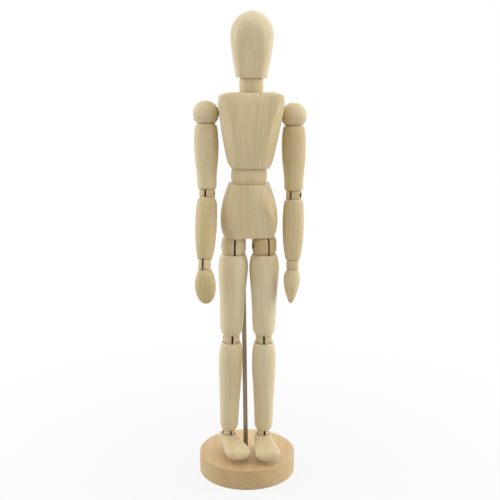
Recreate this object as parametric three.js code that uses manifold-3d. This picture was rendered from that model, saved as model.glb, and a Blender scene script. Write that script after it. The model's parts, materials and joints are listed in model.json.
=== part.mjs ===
// Wooden artist mannequin on a steel rod and a round base.
// Millimetres, +Z up. The figure faces -Y; left and right are the viewer's, so left is -X.
import * as THREE from "three";
import { mergeVertices } from "three/addons/utils/BufferGeometryUtils.js";
import Module from "manifold-3d";

const wasm = await Module();
wasm.setup();

// Base and rod
const BASE_RADIUS = 32.4;
const BASE_HEIGHT = 14.4;
const BASE_ROUND = 1.3;
const BASE_FOOT_BEVEL = 0.6;
const ROD_RADIUS = 1.5;
const ROD_BASE_DEPTH = 9;
const ROD_PELVIS_DEPTH = 12;
const ROD_SIDE = 4.1;
const ROD_FOOT_SIDE = 0.7;
const ROD_WALL = 2.4;
const FIGURE_SIDE = 1.4;

// Fits
const FIT = 0.3;
const CUP_FIT = 0.16;
const FOOT_GAP = 3.2;
const LEG_GAP = 0.4;
const HANG_GAP = 1.5;
const ROD_GAP = 0.7;

// Balls: sphere radius, girth of the barrel, visible half height, pin radius, the wall that hides a slot,
// and how far the lower end stays round
const WAIST = { radius: 11.8, barrel: 11.45, open: 5.1, pin: 1.3, sides: 16, wall: 2.4 };
const NECK = { radius: 8.3, barrel: 7.55, open: 4.35, pin: 1, sides: 14, wall: 2 };
const SHOULDER = { radius: 8.2, barrel: 8.1, open: 6.7, pin: 1.3, sides: 14, round: true };
const ELBOW = { radius: 5.7, barrel: 5.05, open: 2.9, pin: 1.4, sides: 12 };
const WRIST = { radius: 4.6, barrel: 4, open: 3.1, pin: 0.9, sides: 12 };
const HIP = { radius: 8.6, barrel: 7.95, open: 5.65, pin: 1.6, sides: 14 };
const KNEE = { radius: 6.1, barrel: 5.5, open: 2.95, pin: 1.3, sides: 12 };
const ANKLE = { radius: 4.7, barrel: 4.1, open: 2.5, pin: 0.9, sides: 12 };
const BARREL_CROWN = 0.08;
const END_FLAT = 0.2;
const CAP_START = 0.35;
const BALL_CUT = 0.87;
const PIN_RECESS = 1.1;
const PIN_COVER = 2.2;

// Slot, links and springs
const STRIP = 0.4;
const STRIP_WIDTH = 1.6;
const STRIP_GAP = 0.3;
const SLOT_FIT = 0.25;
const LINK_HEAD_WIDTH = 3.2;
const LINK_HEAD_HEIGHT = 1.2;
const EYE_RING = 0.8;
const WIRE_RADIUS = 0.35;
const COIL_RADIUS = 2.45;
const END_COIL_RADIUS = 1.68;
const COIL_PITCH = 2.4;
const COIL_TURNS = 3;
const SHOULDER_COIL_TURNS = 6;
const CURL_STEPS = 8;
const WIRE_SIDES = 5;
const BORE_FLOOR = 5;
const CHEST_BORE_FLOOR = 15.4;

// Spans from ball centre to ball centre
const UPPER_ARM_SPAN = 49.8;
const FOREARM_SPAN = 44.6;
const THIGH_SPAN = 63;
const SHIN_SPAN = 67.5;

// Largest radius of each turned limb
const UPPER_ARM_RADIUS = 7.65;
const FOREARM_RADIUS = 6.85;
const THIGH_RADIUS = 9.6;
const SHIN_RADIUS = 7.85;
const LIMB_SIDES = 14;

// Pelvis, chest, head, hands and feet
const PELVIS_HEIGHT = 34.2;
const PELVIS_HALF_WIDTH = 18.2;
const CHEST_HEIGHT = 46.1;
const CHEST_HALF_DEPTH = 14.2;
const SHOULDER_DROP = 13.9;
const SHOULDER_BACK = 4.4;
const SHOULDER_SINK = 1.1;
const PELVIS_FACET = 12;
const PELVIS_FACET_TURN = 11;
const PELVIS_FACET_DEPTH = 0.7;
const CHEST_FACET = 7;
const CHEST_FACET_DEPTH = 0.97;
const CHEST_FACET_RISE = 0.36;
const CHEST_BEVEL = 4.6;
const CHEST_BEVEL_DEPTH = 0.86;
const FACE_FACET = 9;
const FACE_DEPTH = 0.79;
const FACE_RISE = 0.45;
const HEAD_HEIGHT = 40;
const HEAD_RADIUS = 13.3;
const HEAD_EYE_REACH = 11;
const HEAD_DEPTH_RATIO = 1.08;
const HAND_LENGTH = 21.7;
const HAND_HALF_WIDTH = 6.7;
const HAND_HALF_DEPTH = 5.35;
const FOOT_LENGTH = 32.5;
const FOOT_HALF_WIDTH = 8.3;
const FOOT_HEIGHT = 10.8;
const ANKLE_HEIGHT = 11.9;
const FOOT_EYE_REACH = 3.4;

// Rest pose in degrees
const WAIST_TURN = 0;
const CHEST_LEAN = 1.5;
const CHEST_BEND = 0;
const CHEST_TURN = 4;
const NECK_TURN = -4;
const HEAD_LEAN = -0.5;
const HEAD_BEND = 0;
const HEAD_TURN = -4;
const ARM_SWING = -5;
const LEG_LEAN = 2.5;
const POSE = {
  left: {
    swing: -2, lift: 1.7, elbow: -16, elbowBend: -12, wrist: -4, wristBend: 13,
    splay: 1.4, hip: 7, knee: 3, ankle: 13,
  },
  right: {
    swing: 0, lift: 1.4, elbow: -31, elbowBend: -2, wrist: 117, wristBend: 2,
    splay: 0.95, hip: 22, knee: -22, ankle: 9,
  },
};

// Values that follow from the sizes above
const SLOT = 2 * SLOT_FIT + 2 * STRIP + STRIP_GAP;
const STRIP_X = STRIP_GAP / 2 + STRIP / 2;
const STRIP_REACH = Math.hypot(STRIP_GAP / 2 + STRIP, STRIP_WIDTH / 2);
const LINK_HOLE = STRIP_REACH + FIT;
const BORE = COIL_RADIUS + WIRE_RADIUS + FIT;
const HIP_SIDE = THIGH_RADIUS + LEG_GAP / 2;
const SHOULDER_SIDE = HANG_GAP + Math.max(
  PELVIS_HALF_WIDTH + FOREARM_RADIUS,
  HIP_SIDE + THIGH_RADIUS + HAND_HALF_WIDTH,
);
const CHEST_HALF_WIDTH = SHOULDER_SIDE - SHOULDER.radius + SHOULDER_SINK;
const THIGH_TO_ROD = THIGH_RADIUS + ROD_RADIUS + ROD_GAP;
const ROD_BACK = Math.sqrt(THIGH_TO_ROD ** 2 - (HIP_SIDE - ROD_SIDE) ** 2);
const PELVIS_HALF_DEPTH = ROD_BACK + ROD_RADIUS + ROD_WALL;
const LEG_RISE = (THIGH_SPAN + SHIN_SPAN) * Math.cos(rad(LEG_LEAN));
const HIP_Z = BASE_HEIGHT + FOOT_GAP + ANKLE_HEIGHT + LEG_RISE;
const PELVIS_Z = HIP_Z + HIP.open;
const WAIST_Z = PELVIS_Z + PELVIS_HEIGHT + WAIST.open;
const NECK_RISE = WAIST.open + CHEST_HEIGHT + NECK.open;
const SHOULDER_RISE = WAIST.open + CHEST_HEIGHT - SHOULDER_DROP;

// Finishes
const WOOD = new THREE.MeshStandardMaterial({ color: 0xd3c198, roughness: 0.6, metalness: 0 });
const BASE_WOOD = new THREE.MeshStandardMaterial({ color: 0xcba983, roughness: 0.6, metalness: 0 });
const STEEL = new THREE.MeshStandardMaterial({ color: 0x7a7058, roughness: 0.4, metalness: 1 });

function rad(degrees) {
  return (degrees * Math.PI) / 180;
}

// Closed solid from a geometry, for cutting and joining
function solid(geometry, matrix) {
  const flat = geometry.index ? geometry.toNonIndexed() : geometry;
  const bare = new THREE.BufferGeometry();
  bare.setAttribute("position", flat.getAttribute("position").clone());
  if (matrix) {
    bare.applyMatrix4(matrix);
  }
  const merged = mergeVertices(bare, 1e-3);
  const triVerts = new Uint32Array(merged.index.array);
  const vertProperties = new Float32Array(merged.attributes.position.array);
  return new wasm.Manifold(new wasm.Mesh({ numProp: 3, vertProperties, triVerts }));
}

// Geometry of a cut or joined solid
function shaped(body) {
  const mesh = body.getMesh();
  const geometry = new THREE.BufferGeometry();
  geometry.setAttribute("position", new THREE.BufferAttribute(new Float32Array(mesh.vertProperties), 3));
  geometry.setIndex(new THREE.BufferAttribute(new Uint32Array(mesh.triVerts), 1));
  const faceted = geometry.toNonIndexed();
  faceted.computeVertexNormals();
  return faceted;
}

function move(x, y, z) {
  return new THREE.Matrix4().makeTranslation(x, y, z);
}

// Turned piece about Z from [radius, height] pairs that run upwards along the outside
function turned(profile, sides) {
  const points = profile.map(([r, z]) => new THREE.Vector2(r, z));
  return new THREE.LatheGeometry(points, sides).rotateX(Math.PI / 2);
}

function rod(radius, from, to, sides = 8) {
  return turned([[0, from], [radius, from], [radius, to], [0, to]], sides);
}

// Round bar along X
function crossRod(radius, half, sides = 12) {
  return rod(radius, -half, half, sides).rotateY(Math.PI / 2);
}

function block(x0, x1, y0, y1, z0, z1) {
  const box = new THREE.BoxGeometry(x1 - x0, y1 - y0, z1 - z0);
  return box.translate((x0 + x1) / 2, (y0 + y1) / 2, (z0 + z1) / 2);
}

// Round seat for a ball, wide enough that no flat of it touches the ball
function seatRadius(ball, sides) {
  return (ball.radius + CUP_FIT) / (Math.cos(Math.PI / sides) * Math.cos(Math.PI / 20));
}

function seat(ball, sides = 16) {
  return new THREE.SphereGeometry(seatRadius(ball, sides), sides, 9).rotateX(Math.PI / 2);
}

// Skin over rings of equal count, from the lowest ring to the highest
function loft(rings) {
  const count = rings[0].length;
  const points = rings.flat();
  const index = [];
  for (let k = 0; k + 1 < rings.length; k += 1) {
    for (let i = 0; i < count; i += 1) {
      const a = k * count + i;
      const b = k * count + ((i + 1) % count);
      index.push(a, b, b + count, a, b + count, a + count);
    }
  }
  const last = (rings.length - 1) * count;
  for (let i = 1; i + 1 < count; i += 1) {
    index.push(0, i + 1, i);
    index.push(last, last + i, last + i + 1);
  }
  const geometry = new THREE.BufferGeometry().setFromPoints(points);
  geometry.setIndex(index);
  return geometry;
}

// Ring in a level plane: half width, half depth, squareness at the back and at the front
function ring(z, a, b, back, count, front = back) {
  return Array.from({ length: count }, (_, i) => {
    const t = (2 * Math.PI * i) / count;
    const c = Math.cos(t);
    const s = Math.sin(t);
    const power = s < 0 ? front : back;
    const x = a * Math.sign(c) * Math.abs(c) ** (2 / power);
    const y = b * Math.sign(s) * Math.abs(s) ** (2 / power);
    return new THREE.Vector3(x, y, z);
  });
}

// Ball with its slot: the closed side is up, the slot opens downwards and to -Y and +Y, the pin is along X
function ballRadiusAt(ball, z) {
  const sphere = Math.sqrt(ball.radius ** 2 - z ** 2);
  return Math.min(sphere, ball.barrel * (1 - BARREL_CROWN * (z / ball.open) ** 2));
}

// Pin along X; a closed side of -1 or 1 keeps its wood over the pin's end
function pinBar(ball, radius, more, open, closed) {
  const shut = ball.barrel - PIN_COVER + more;
  const from = closed === -1 ? -shut : -open;
  const to = closed === 1 ? shut : open;
  return rod(radius, from, to).rotateY(Math.PI / 2);
}

function knuckle(ball, closed) {
  const cut = ball.radius * BALL_CUT;
  const low = ball.round ? ball.radius - END_FLAT : cut;
  const steps = [-1, ...(ball.round ? [-0.9] : []), -0.72, -0.36, 0, 0.36, 0.72, 1];
  const heights = steps.map((s) => s * (s < 0 ? low : cut));
  const side = heights.map((z) => [ballRadiusAt(ball, z), z]);
  const whole = solid(turned([[0, -low], ...side, [0, cut]], ball.sides));
  const reach = ball.radius + 1;
  const slotTop = Math.min(ball.open + CAP_START, cut - 0.8);
  const half = ball.wall ? ball.barrel - ball.wall : reach;
  const slot = solid(block(-SLOT / 2, SLOT / 2, -half, half, -reach, slotTop));
  const hole = solid(rod(LINK_HOLE, slotTop - 0.5, reach));
  const bore = solid(pinBar(ball, ball.pin + FIT, FIT, reach, closed));
  return shaped(whole.subtract(slot).subtract(hole).subtract(bore));
}

// Flat strip with a round end about the pin, drawn in the slot's plane and pointing up
function stripShape(disc, length, headed) {
  const half = STRIP_WIDTH / 2;
  const start = Math.asin(half / disc);
  const shape = new THREE.Shape();
  shape.moveTo(half, disc * Math.cos(start));
  shape.lineTo(half, length);
  if (headed) {
    shape.lineTo(LINK_HEAD_WIDTH / 2, length);
    shape.lineTo(LINK_HEAD_WIDTH / 2, length + LINK_HEAD_HEIGHT);
    shape.lineTo(-LINK_HEAD_WIDTH / 2, length + LINK_HEAD_HEIGHT);
    shape.lineTo(-LINK_HEAD_WIDTH / 2, length);
  }
  shape.lineTo(-half, length);
  const turns = 7;
  for (let i = 0; i < turns; i += 1) {
    const a = -start - ((2 * Math.PI - 2 * start) * i) / turns;
    shape.lineTo(disc * Math.sin(a), disc * Math.cos(a));
  }
  return shape;
}

function strip(shape, side) {
  const plate = new THREE.ExtrudeGeometry(shape, { depth: STRIP, bevelEnabled: false, curveSegments: 7 });
  const basis = new THREE.Matrix4().makeBasis(
    new THREE.Vector3(0, 1, 0),
    new THREE.Vector3(0, 0, 1),
    new THREE.Vector3(1, 0, 0),
  );
  return plate.applyMatrix4(basis).translate(side - STRIP / 2, 0, 0);
}

// Cross pin with its swivel link, which points up
function pinWithLink(ball, linkLength, closed) {
  const pin = solid(pinBar(ball, ball.pin, 0, ball.barrel - PIN_RECESS, closed));
  const link = solid(strip(stripShape(ball.pin + EYE_RING, linkLength, true), -STRIP_X));
  return shaped(pin.add(link));
}

// Flat eye on the pin of a ball, which points down
function eye(ball, length) {
  const shape = stripShape(ball.pin + FIT + EYE_RING, length, false);
  const hole = new THREE.Path();
  hole.absarc(0, 0, ball.pin + FIT, 0, 2 * Math.PI, true);
  shape.holes.push(hole);
  return strip(shape, -STRIP_X).rotateX(Math.PI).translate(2 * STRIP_X, 0, 0);
}

// One unbroken wire through a list of points
function wire(points) {
  const rings = [];
  let normal = new THREE.Vector3(0, 0, 1);
  points.forEach((point, i) => {
    const before = points[Math.max(i - 1, 0)];
    const after = points[Math.min(i + 1, points.length - 1)];
    const along = after.clone().sub(before).normalize();
    if (i === 0 && Math.abs(along.z) > 0.8) {
      normal = new THREE.Vector3(0, 1, 0);
    }
    normal = normal.clone().addScaledVector(along, -normal.dot(along)).normalize();
    const other = along.clone().cross(normal);
    rings.push(Array.from({ length: WIRE_SIDES }, (_, k) => {
      const a = (2 * Math.PI * k) / WIRE_SIDES;
      return point.clone()
        .addScaledVector(normal, WIRE_RADIUS * Math.cos(a))
        .addScaledVector(other, WIRE_RADIUS * Math.sin(a));
    }));
  });
  return loft(rings);
}

// Least clear distance between two turns of a wire
function leastGap(points) {
  let least = Infinity;
  for (let i = 0; i < points.length; i += 1) {
    for (let k = i + CURL_STEPS - 2; k < points.length; k += 1) {
      least = Math.min(least, points[i].distanceTo(points[k]) - 2 * WIRE_RADIUS);
    }
  }
  return least;
}

// Coil about Z from a height downwards; the first and the last turn narrow to the given radii
function coilPoints(top, turns, firstRadius, lastRadius) {
  const steps = turns * CURL_STEPS;
  return Array.from({ length: steps + 1 }, (_, i) => {
    const a = (2 * Math.PI * i) / CURL_STEPS;
    const fromStart = Math.min(i / (CURL_STEPS * 0.75), 1);
    const fromEnd = Math.min((steps - i) / CURL_STEPS, 1);
    const r = Math.min(
      firstRadius + (COIL_RADIUS - firstRadius) * fromStart,
      lastRadius + (COIL_RADIUS - lastRadius) * fromEnd,
    );
    return new THREE.Vector3(r * Math.cos(a), r * Math.sin(a), top - (COIL_PITCH * i) / CURL_STEPS);
  });
}

// Heights in a limb, counted down from its upper ball's centre
function springEnd(span, lower, floor) {
  return -span + lower.radius + floor + WIRE_RADIUS + FIT;
}

function linkLength(ball, floor) {
  return ball.radius + floor + WIRE_RADIUS + FIT + COIL_PITCH + WIRE_RADIUS + FIT;
}

// Tension spring in a limb: flat eye on the upper pin, coil, and a narrow last turn for the link's head
function limbSpring(name, upper, lower, span, floor) {
  const top = springEnd(span, lower, floor) + COIL_TURNS * COIL_PITCH;
  const points = coilPoints(top, COIL_TURNS, STRIP_X, END_COIL_RADIUS);
  console.log(`${name}: least gap between turns ${leastGap(points).toFixed(2)} mm`);
  const plate = solid(eye(upper, -top + WIRE_RADIUS / 2));
  return shaped(plate.add(solid(wire(points))));
}

// Turned limb hanging from its upper ball's centre: seats at both ends, a wide bore above, a narrow one below
function limb(upper, lower, span, radius, shape) {
  const sides = LIMB_SIDES;
  const top = -upper.open;
  const bottom = -span + lower.open;
  const outside = shape.map(([t, share]) => [radius * share, top + (bottom - top) * t]).reverse();
  const upperSeat = seatRadius(upper, sides);
  const lowerSeat = seatRadius(lower, sides);
  const floor = -span + lower.radius + BORE_FLOOR;
  const arc = (r, from, to, centre) => {
    const steps = 2;
    return Array.from({ length: steps + 1 }, (_, i) => {
      const a = from + ((to - from) * i) / steps;
      return [r * Math.sin(a), centre + r * Math.cos(a)];
    });
  };
  const upperRim = Math.PI - Math.acos(upper.open / upperSeat);
  const upperBore = Math.PI - Math.asin(BORE / upperSeat);
  const lowerRim = Math.acos(lower.open / lowerSeat);
  const lowerHole = Math.asin(LINK_HOLE / lowerSeat);
  const profile = [
    ...outside,
    ...arc(upperSeat, upperRim, upperBore, 0),
    [BORE, floor],
    [LINK_HOLE, floor],
    ...arc(lowerSeat, lowerHole, lowerRim, -span),
  ];
  profile.push(profile[0]);
  return turned(profile, sides);
}

const UPPER_ARM_SHAPE = [
  [0, 0.83], [0.03, 0.89], [0.12, 0.96], [0.28, 1], [0.46, 0.98],
  [0.66, 0.88], [0.85, 0.8], [0.97, 0.775], [1, 0.7],
];
const FOREARM_SHAPE = [
  [0, 0.74], [0.035, 0.87], [0.14, 0.95], [0.36, 1], [0.56, 0.97],
  [0.74, 0.9], [0.9, 0.77], [0.98, 0.67], [1, 0.6],
];
const THIGH_SHAPE = [
  [0, 0.78], [0.03, 0.88], [0.08, 0.95], [0.17, 1], [0.3, 0.96],
  [0.45, 0.895], [0.62, 0.835], [0.86, 0.79], [0.935, 0.765], [1, 0.625],
];
const SHIN_SHAPE = [
  [0, 0.755], [0.036, 0.835], [0.1, 0.945], [0.18, 1], [0.3, 0.995],
  [0.45, 0.93], [0.65, 0.855], [0.85, 0.795], [0.955, 0.765], [1, 0.64],
];

// Round base with a soft upper edge and a blind hole for the rod
function makeBase(rodAxis) {
  const r = BASE_RADIUS;
  const h = BASE_HEIGHT;
  const e = BASE_ROUND;
  const disc = turned([
    [0, 0], [r - BASE_FOOT_BEVEL, 0], [r, BASE_FOOT_BEVEL], [r, h - e],
    [r - 0.3 * e, h - 0.3 * e], [r - e, h], [0, h],
  ], 40);
  const hole = solid(rod(ROD_RADIUS + FIT, -FIT, 2 * BASE_HEIGHT), rodAxis);
  return shaped(solid(disc).subtract(hole));
}

// Pelvis from its underside upwards, with seats for waist and hips
function makePelvis(rodAxis, rodLength, hipFrames) {
  const w = PELVIS_HALF_WIDTH;
  const d = PELVIS_HALF_DEPTH;
  const h = PELVIS_HEIGHT;
  const rings = [
    [0, 0.86, 0.88], [0.06, 0.925, 0.95], [0.17, 0.975, 1], [0.32, 1, 1], [0.48, 0.98, 1],
    [0.66, 0.92, 0.985], [0.84, 0.82, 0.955], [1, 0.71, 0.92],
  ].map(([t, a, b]) => ring(t * h, a * w, b * d, 2.5, 20));
  let body = solid(loft(rings));
  const facet = block(-2 * w, 2 * w, -d, 0, -h, h);
  facet.rotateX(rad(PELVIS_FACET)).rotateZ(rad(PELVIS_FACET_TURN));
  body = body.subtract(solid(facet, move(0, -PELVIS_FACET_DEPTH * d, 0)));
  body = body.subtract(solid(seat(WAIST), move(0, 0, h + WAIST.open)));
  const headDepth = -linkLength(WAIST, BORE_FLOOR) - LINK_HEAD_HEIGHT - FIT;
  const waistFrame = new THREE.Matrix4().makeRotationY(rad(CHEST_LEAN)).setPosition(0, 0, h + WAIST.open);
  const waistBore = rod(LINK_HEAD_WIDTH / 2 + 2 * FIT, headDepth, 0);
  body = body.subtract(solid(waistBore, waistFrame));
  for (const frame of hipFrames) {
    const top = linkLength(HIP, BORE_FLOOR) + LINK_HEAD_HEIGHT + FIT;
    body = body.subtract(solid(seat(HIP), frame));
    body = body.subtract(solid(rod(LINK_HEAD_WIDTH / 2 + 2 * FIT, 0, top), frame));
  }
  return shaped(body.subtract(solid(rod(ROD_RADIUS + FIT, 0, rodLength), rodAxis)));
}

const CHEST_ROWS = [
  [0, 0.57, 0.9], [0.05, 0.655, 0.94], [0.15, 0.725, 0.98], [0.26, 0.775, 1], [0.4, 0.84, 1], [0.55, 0.9, 0.98],
  [0.7, 0.95, 0.94], [0.86, 1, 0.87], [0.94, 0.985, 0.79], [0.975, 0.92, 0.72], [1, 0.7, 0.6],
];

// Long flat along one front edge of the chest, from the waist up to the widest row
function chestBevel(side) {
  const edge = ([t, a]) => new THREE.Vector3(
    side * (a * CHEST_HALF_WIDTH - CHEST_BEVEL),
    -CHEST_BEVEL_DEPTH * CHEST_HALF_DEPTH,
    WAIST.open + t * CHEST_HEIGHT,
  );
  const foot = edge(CHEST_ROWS[1]);
  const across = new THREE.Vector3(1, side, 0).normalize();
  const up = edge(CHEST_ROWS[7]).sub(foot);
  up.addScaledVector(across, -up.dot(across)).normalize();
  const out = across.clone().cross(up);
  const reach = 2 * CHEST_HEIGHT;
  const frame = new THREE.Matrix4().makeBasis(across, up, out).setPosition(foot);
  return solid(block(-reach, reach, -reach, reach, 0, reach), frame);
}

// Chest from the waist centre upwards, with seats for waist, neck and shoulders
function makeChest() {
  const w = CHEST_HALF_WIDTH;
  const d = CHEST_HALF_DEPTH;
  const h = CHEST_HEIGHT;
  const low = WAIST.open;
  const rings = CHEST_ROWS.map(([t, a, b]) => ring(low + t * h, a * w, b * d, 2.8, 20, 8));
  let body = solid(loft(rings));
  const facet = block(-2 * w, 2 * w, -d, 0, -h, 0).rotateX(rad(CHEST_FACET));
  body = body.subtract(solid(facet, move(0, -CHEST_FACET_DEPTH * d, low + CHEST_FACET_RISE * h)));
  body = body.subtract(chestBevel(-1)).subtract(chestBevel(1));
  body = body.subtract(solid(seat(WAIST)));
  body = body.subtract(solid(seat(NECK), move(0, 0, NECK_RISE)));
  const boreTop = NECK_RISE - NECK.radius - CHEST_BORE_FLOOR;
  body = body.subtract(solid(rod(BORE, 0, boreTop)));
  body = body.subtract(solid(rod(LINK_HOLE, 0, NECK_RISE)));
  const across = move(0, SHOULDER_BACK, SHOULDER_RISE);
  body = body.subtract(solid(crossRod(BORE, SHOULDER_SIDE), across));
  for (const side of [-1, 1]) {
    body = body.subtract(solid(seat(SHOULDER), move(side * SHOULDER_SIDE, SHOULDER_BACK, SHOULDER_RISE)));
  }
  return shaped(body);
}

// Egg head from the neck centre upwards, with a flat face
function makeHead() {
  const r = HEAD_RADIUS;
  const h = HEAD_HEIGHT;
  const low = NECK.open;
  const outline = [
    [0.71, 0], [0.74, 0.03], [0.8, 0.14], [0.87, 0.27], [0.93, 0.39], [0.98, 0.52], [1, 0.64],
    [0.97, 0.73], [0.89, 0.8], [0.78, 0.865], [0.6, 0.925], [0.34, 0.975],
  ];
  const profile = [[0, low], ...outline.map(([a, t]) => [a * r, low + t * h]), [0, low + h]];
  let body = solid(turned(profile, 20), new THREE.Matrix4().makeScale(1, HEAD_DEPTH_RATIO, 1));
  const face = block(-2 * r, 2 * r, -2 * r, 0, -2 * h, 2 * h).rotateX(rad(FACE_FACET));
  const faceFrame = move(0, -FACE_DEPTH * r * HEAD_DEPTH_RATIO, low + FACE_RISE * h);
  body = body.subtract(solid(face, faceFrame));
  body = body.subtract(solid(seat(NECK)));
  return shaped(body.subtract(solid(rod(LINK_HOLE, 0, NECK.radius + HEAD_EYE_REACH + FIT))));
}

// Spoon-shaped hand hanging from the wrist centre
function makeHand() {
  const rings = [
    [1, 0.16, 0.12], [0.93, 0.5, 0.29], [0.82, 0.79, 0.49], [0.66, 0.95, 0.72], [0.48, 1, 0.9],
    [0.32, 0.94, 0.985], [0.18, 0.83, 0.98], [0.06, 0.69, 0.8], [0, 0.59, 0.68],
  ].map(([t, a, b]) => {
    return ring(-WRIST.open - t * HAND_LENGTH, a * HAND_HALF_WIDTH, b * HAND_HALF_DEPTH, 2.15, 14);
  });
  const depth = WRIST.radius + BORE_FLOOR + FIT;
  const body = solid(loft(rings)).subtract(solid(seat(WRIST, 12)));
  return shaped(body.subtract(solid(rod(LINK_HOLE, -depth, 0))));
}

// Clog-shaped foot about the ankle centre, toes to -Y
function makeFoot() {
  const l = FOOT_LENGTH;
  const rings = [
    [0.27, 0.32, 0.5, 0.12], [0.24, 0.54, 0.82, 0.04], [0.14, 0.68, 0.98, 0], [0, 0.7, 1, 0],
    [-0.14, 0.7, 0.94, 0], [-0.28, 0.84, 0.82, 0], [-0.43, 0.98, 0.72, 0], [-0.55, 1, 0.65, 0.01],
    [-0.65, 0.87, 0.56, 0.03], [-0.71, 0.62, 0.45, 0.08], [-0.735, 0.34, 0.28, 0.14],
  ].map(([t, a, top, lift]) => {
    const high = (top + lift) * FOOT_HEIGHT;
    const low = lift * FOOT_HEIGHT;
    const section = ring(0, a * FOOT_HALF_WIDTH, (high - low) / 2, 2.9, 14);
    return section.map((p) => {
      return new THREE.Vector3(p.x, t * l, p.y + (high + low) / 2 - ANKLE_HEIGHT);
    });
  });
  const depth = ANKLE.radius + FOOT_EYE_REACH;
  const body = solid(loft(rings)).subtract(solid(seat(ANKLE, 12)));
  return shaped(body.subtract(solid(rod(LINK_HOLE, -depth - FIT, 0))));
}

// Spring across the chest, narrow at both ends under the heads of the shoulder links
function makeShoulderSpring() {
  const half = SHOULDER_SIDE - SHOULDER.radius - BORE_FLOOR - WIRE_RADIUS - FIT;
  const turns = SHOULDER_COIL_TURNS;
  const points = coilPoints((turns * COIL_PITCH) / 2, turns, END_COIL_RADIUS, END_COIL_RADIUS);
  const steps = points.length - 1;
  const stretch = (2 * half) / (turns * COIL_PITCH);
  points.forEach((p, i) => {
    const r = Math.min(1, i / CURL_STEPS, (steps - i) / CURL_STEPS);
    const radius = END_COIL_RADIUS + (COIL_RADIUS - END_COIL_RADIUS) * r;
    const a = (2 * Math.PI * i) / CURL_STEPS;
    p.set(radius * Math.cos(a), radius * Math.sin(a), p.z * stretch);
  });
  console.log(`shoulder_spring: least gap between turns ${leastGap(points).toFixed(2)} mm`);
  return wire(points).rotateY(Math.PI / 2);
}

function place(parent, name, geometry, material, frame) {
  const mesh = new THREE.Mesh(geometry, material);
  mesh.name = name;
  if (frame) {
    mesh.applyMatrix4(frame);
  }
  parent.add(mesh);
  return mesh;
}

// Joint frame: a group at the ball's centre, turned by its rest angle about its own axis
function joint(parent, name, axis, degrees, x = 0, y = 0, z = 0) {
  const group = new THREE.Group();
  group.name = name;
  group.position.set(x, y, z);
  group.rotation[axis] = rad(degrees);
  parent.add(group);
  return group;
}

function basis(x, y, z) {
  return new THREE.Matrix4().makeBasis(
    new THREE.Vector3(...x),
    new THREE.Vector3(...y),
    new THREE.Vector3(...z),
  );
}

// A ball with its pin, then the piece that hangs from the pin
function addBall(parent, name, ball, floor, frame, closed = 0) {
  place(parent, `${name}_ball`, knuckle(ball, closed), WOOD, frame);
  place(parent, `${name}_pin`, pinWithLink(ball, linkLength(ball, floor), closed), STEEL, frame);
}

function addLimb(parent, name, upper, lower, span, radius, shape, frame) {
  place(parent, name, limb(upper, lower, span, radius, shape), WOOD);
  place(parent, `${name}_spring`, limbSpring(name, upper, lower, span, BORE_FLOOR), STEEL, frame);
}

function addArm(chest, side, sign) {
  const pose = POSE[side];
  const swing = joint(chest, `${side}_shoulder_swing`, "x", ARM_SWING + pose.swing,
    sign * SHOULDER_SIDE, SHOULDER_BACK, SHOULDER_RISE);
  const inward = basis([0, -sign, 0], [0, 0, 1], [-sign, 0, 0]);
  addBall(swing, `${side}_shoulder`, SHOULDER, BORE_FLOOR, inward, sign);
  const lift = joint(swing, `${side}_shoulder_lift`, "y", -pose.lift);
  const eyeTurn = new THREE.Matrix4().makeRotationZ((-sign * Math.PI) / 2);
  addLimb(lift, `${side}_upper_arm`, SHOULDER, ELBOW,
    UPPER_ARM_SPAN, UPPER_ARM_RADIUS, UPPER_ARM_SHAPE, eyeTurn);
  const elbow = joint(lift, `${side}_elbow_turn`, "z", pose.elbow, 0, 0, -UPPER_ARM_SPAN);
  addBall(elbow, `${side}_elbow`, ELBOW, BORE_FLOOR);
  const bend = joint(elbow, `${side}_elbow_bend`, "x", pose.elbowBend);
  addLimb(bend, `${side}_forearm`, ELBOW, WRIST, FOREARM_SPAN, FOREARM_RADIUS, FOREARM_SHAPE);
  const wrist = joint(bend, `${side}_wrist_turn`, "z", pose.wrist, 0, 0, -FOREARM_SPAN);
  addBall(wrist, `${side}_wrist`, WRIST, BORE_FLOOR);
  const hand = joint(wrist, `${side}_wrist_bend`, "x", pose.wristBend);
  place(hand, `${side}_hand`, makeHand(), WOOD);
  place(hand, `${side}_hand_eye`, eye(WRIST, WRIST.radius + BORE_FLOOR), STEEL);
}

function addLeg(figure, side, hipFrame) {
  const pose = POSE[side];
  const set = new THREE.Group();
  set.name = `${side}_hip_set`;
  set.applyMatrix4(hipFrame);
  figure.add(set);
  const hip = joint(set, `${side}_hip_turn`, "z", pose.hip);
  addBall(hip, `${side}_hip`, HIP, BORE_FLOOR);
  const swing = joint(hip, `${side}_hip_bend`, "x", LEG_LEAN);
  addLimb(swing, `${side}_thigh`, HIP, KNEE, THIGH_SPAN, THIGH_RADIUS, THIGH_SHAPE);
  const knee = joint(swing, `${side}_knee_turn`, "z", pose.knee, 0, 0, -THIGH_SPAN);
  addBall(knee, `${side}_knee`, KNEE, BORE_FLOOR);
  const bend = joint(knee, `${side}_knee_bend`, "x", 0);
  addLimb(bend, `${side}_shin`, KNEE, ANKLE, SHIN_SPAN, SHIN_RADIUS, SHIN_SHAPE);
  const ankle = joint(bend, `${side}_ankle_turn`, "z", pose.ankle, 0, 0, -SHIN_SPAN);
  addBall(ankle, `${side}_ankle`, ANKLE, BORE_FLOOR);
  const foot = joint(ankle, `${side}_ankle_bend`, "x", -LEG_LEAN);
  place(foot, `${side}_foot`, makeFoot(), WOOD);
  place(foot, `${side}_foot_eye`, eye(ANKLE, ANKLE.radius + FOOT_EYE_REACH), STEEL);
}

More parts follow.
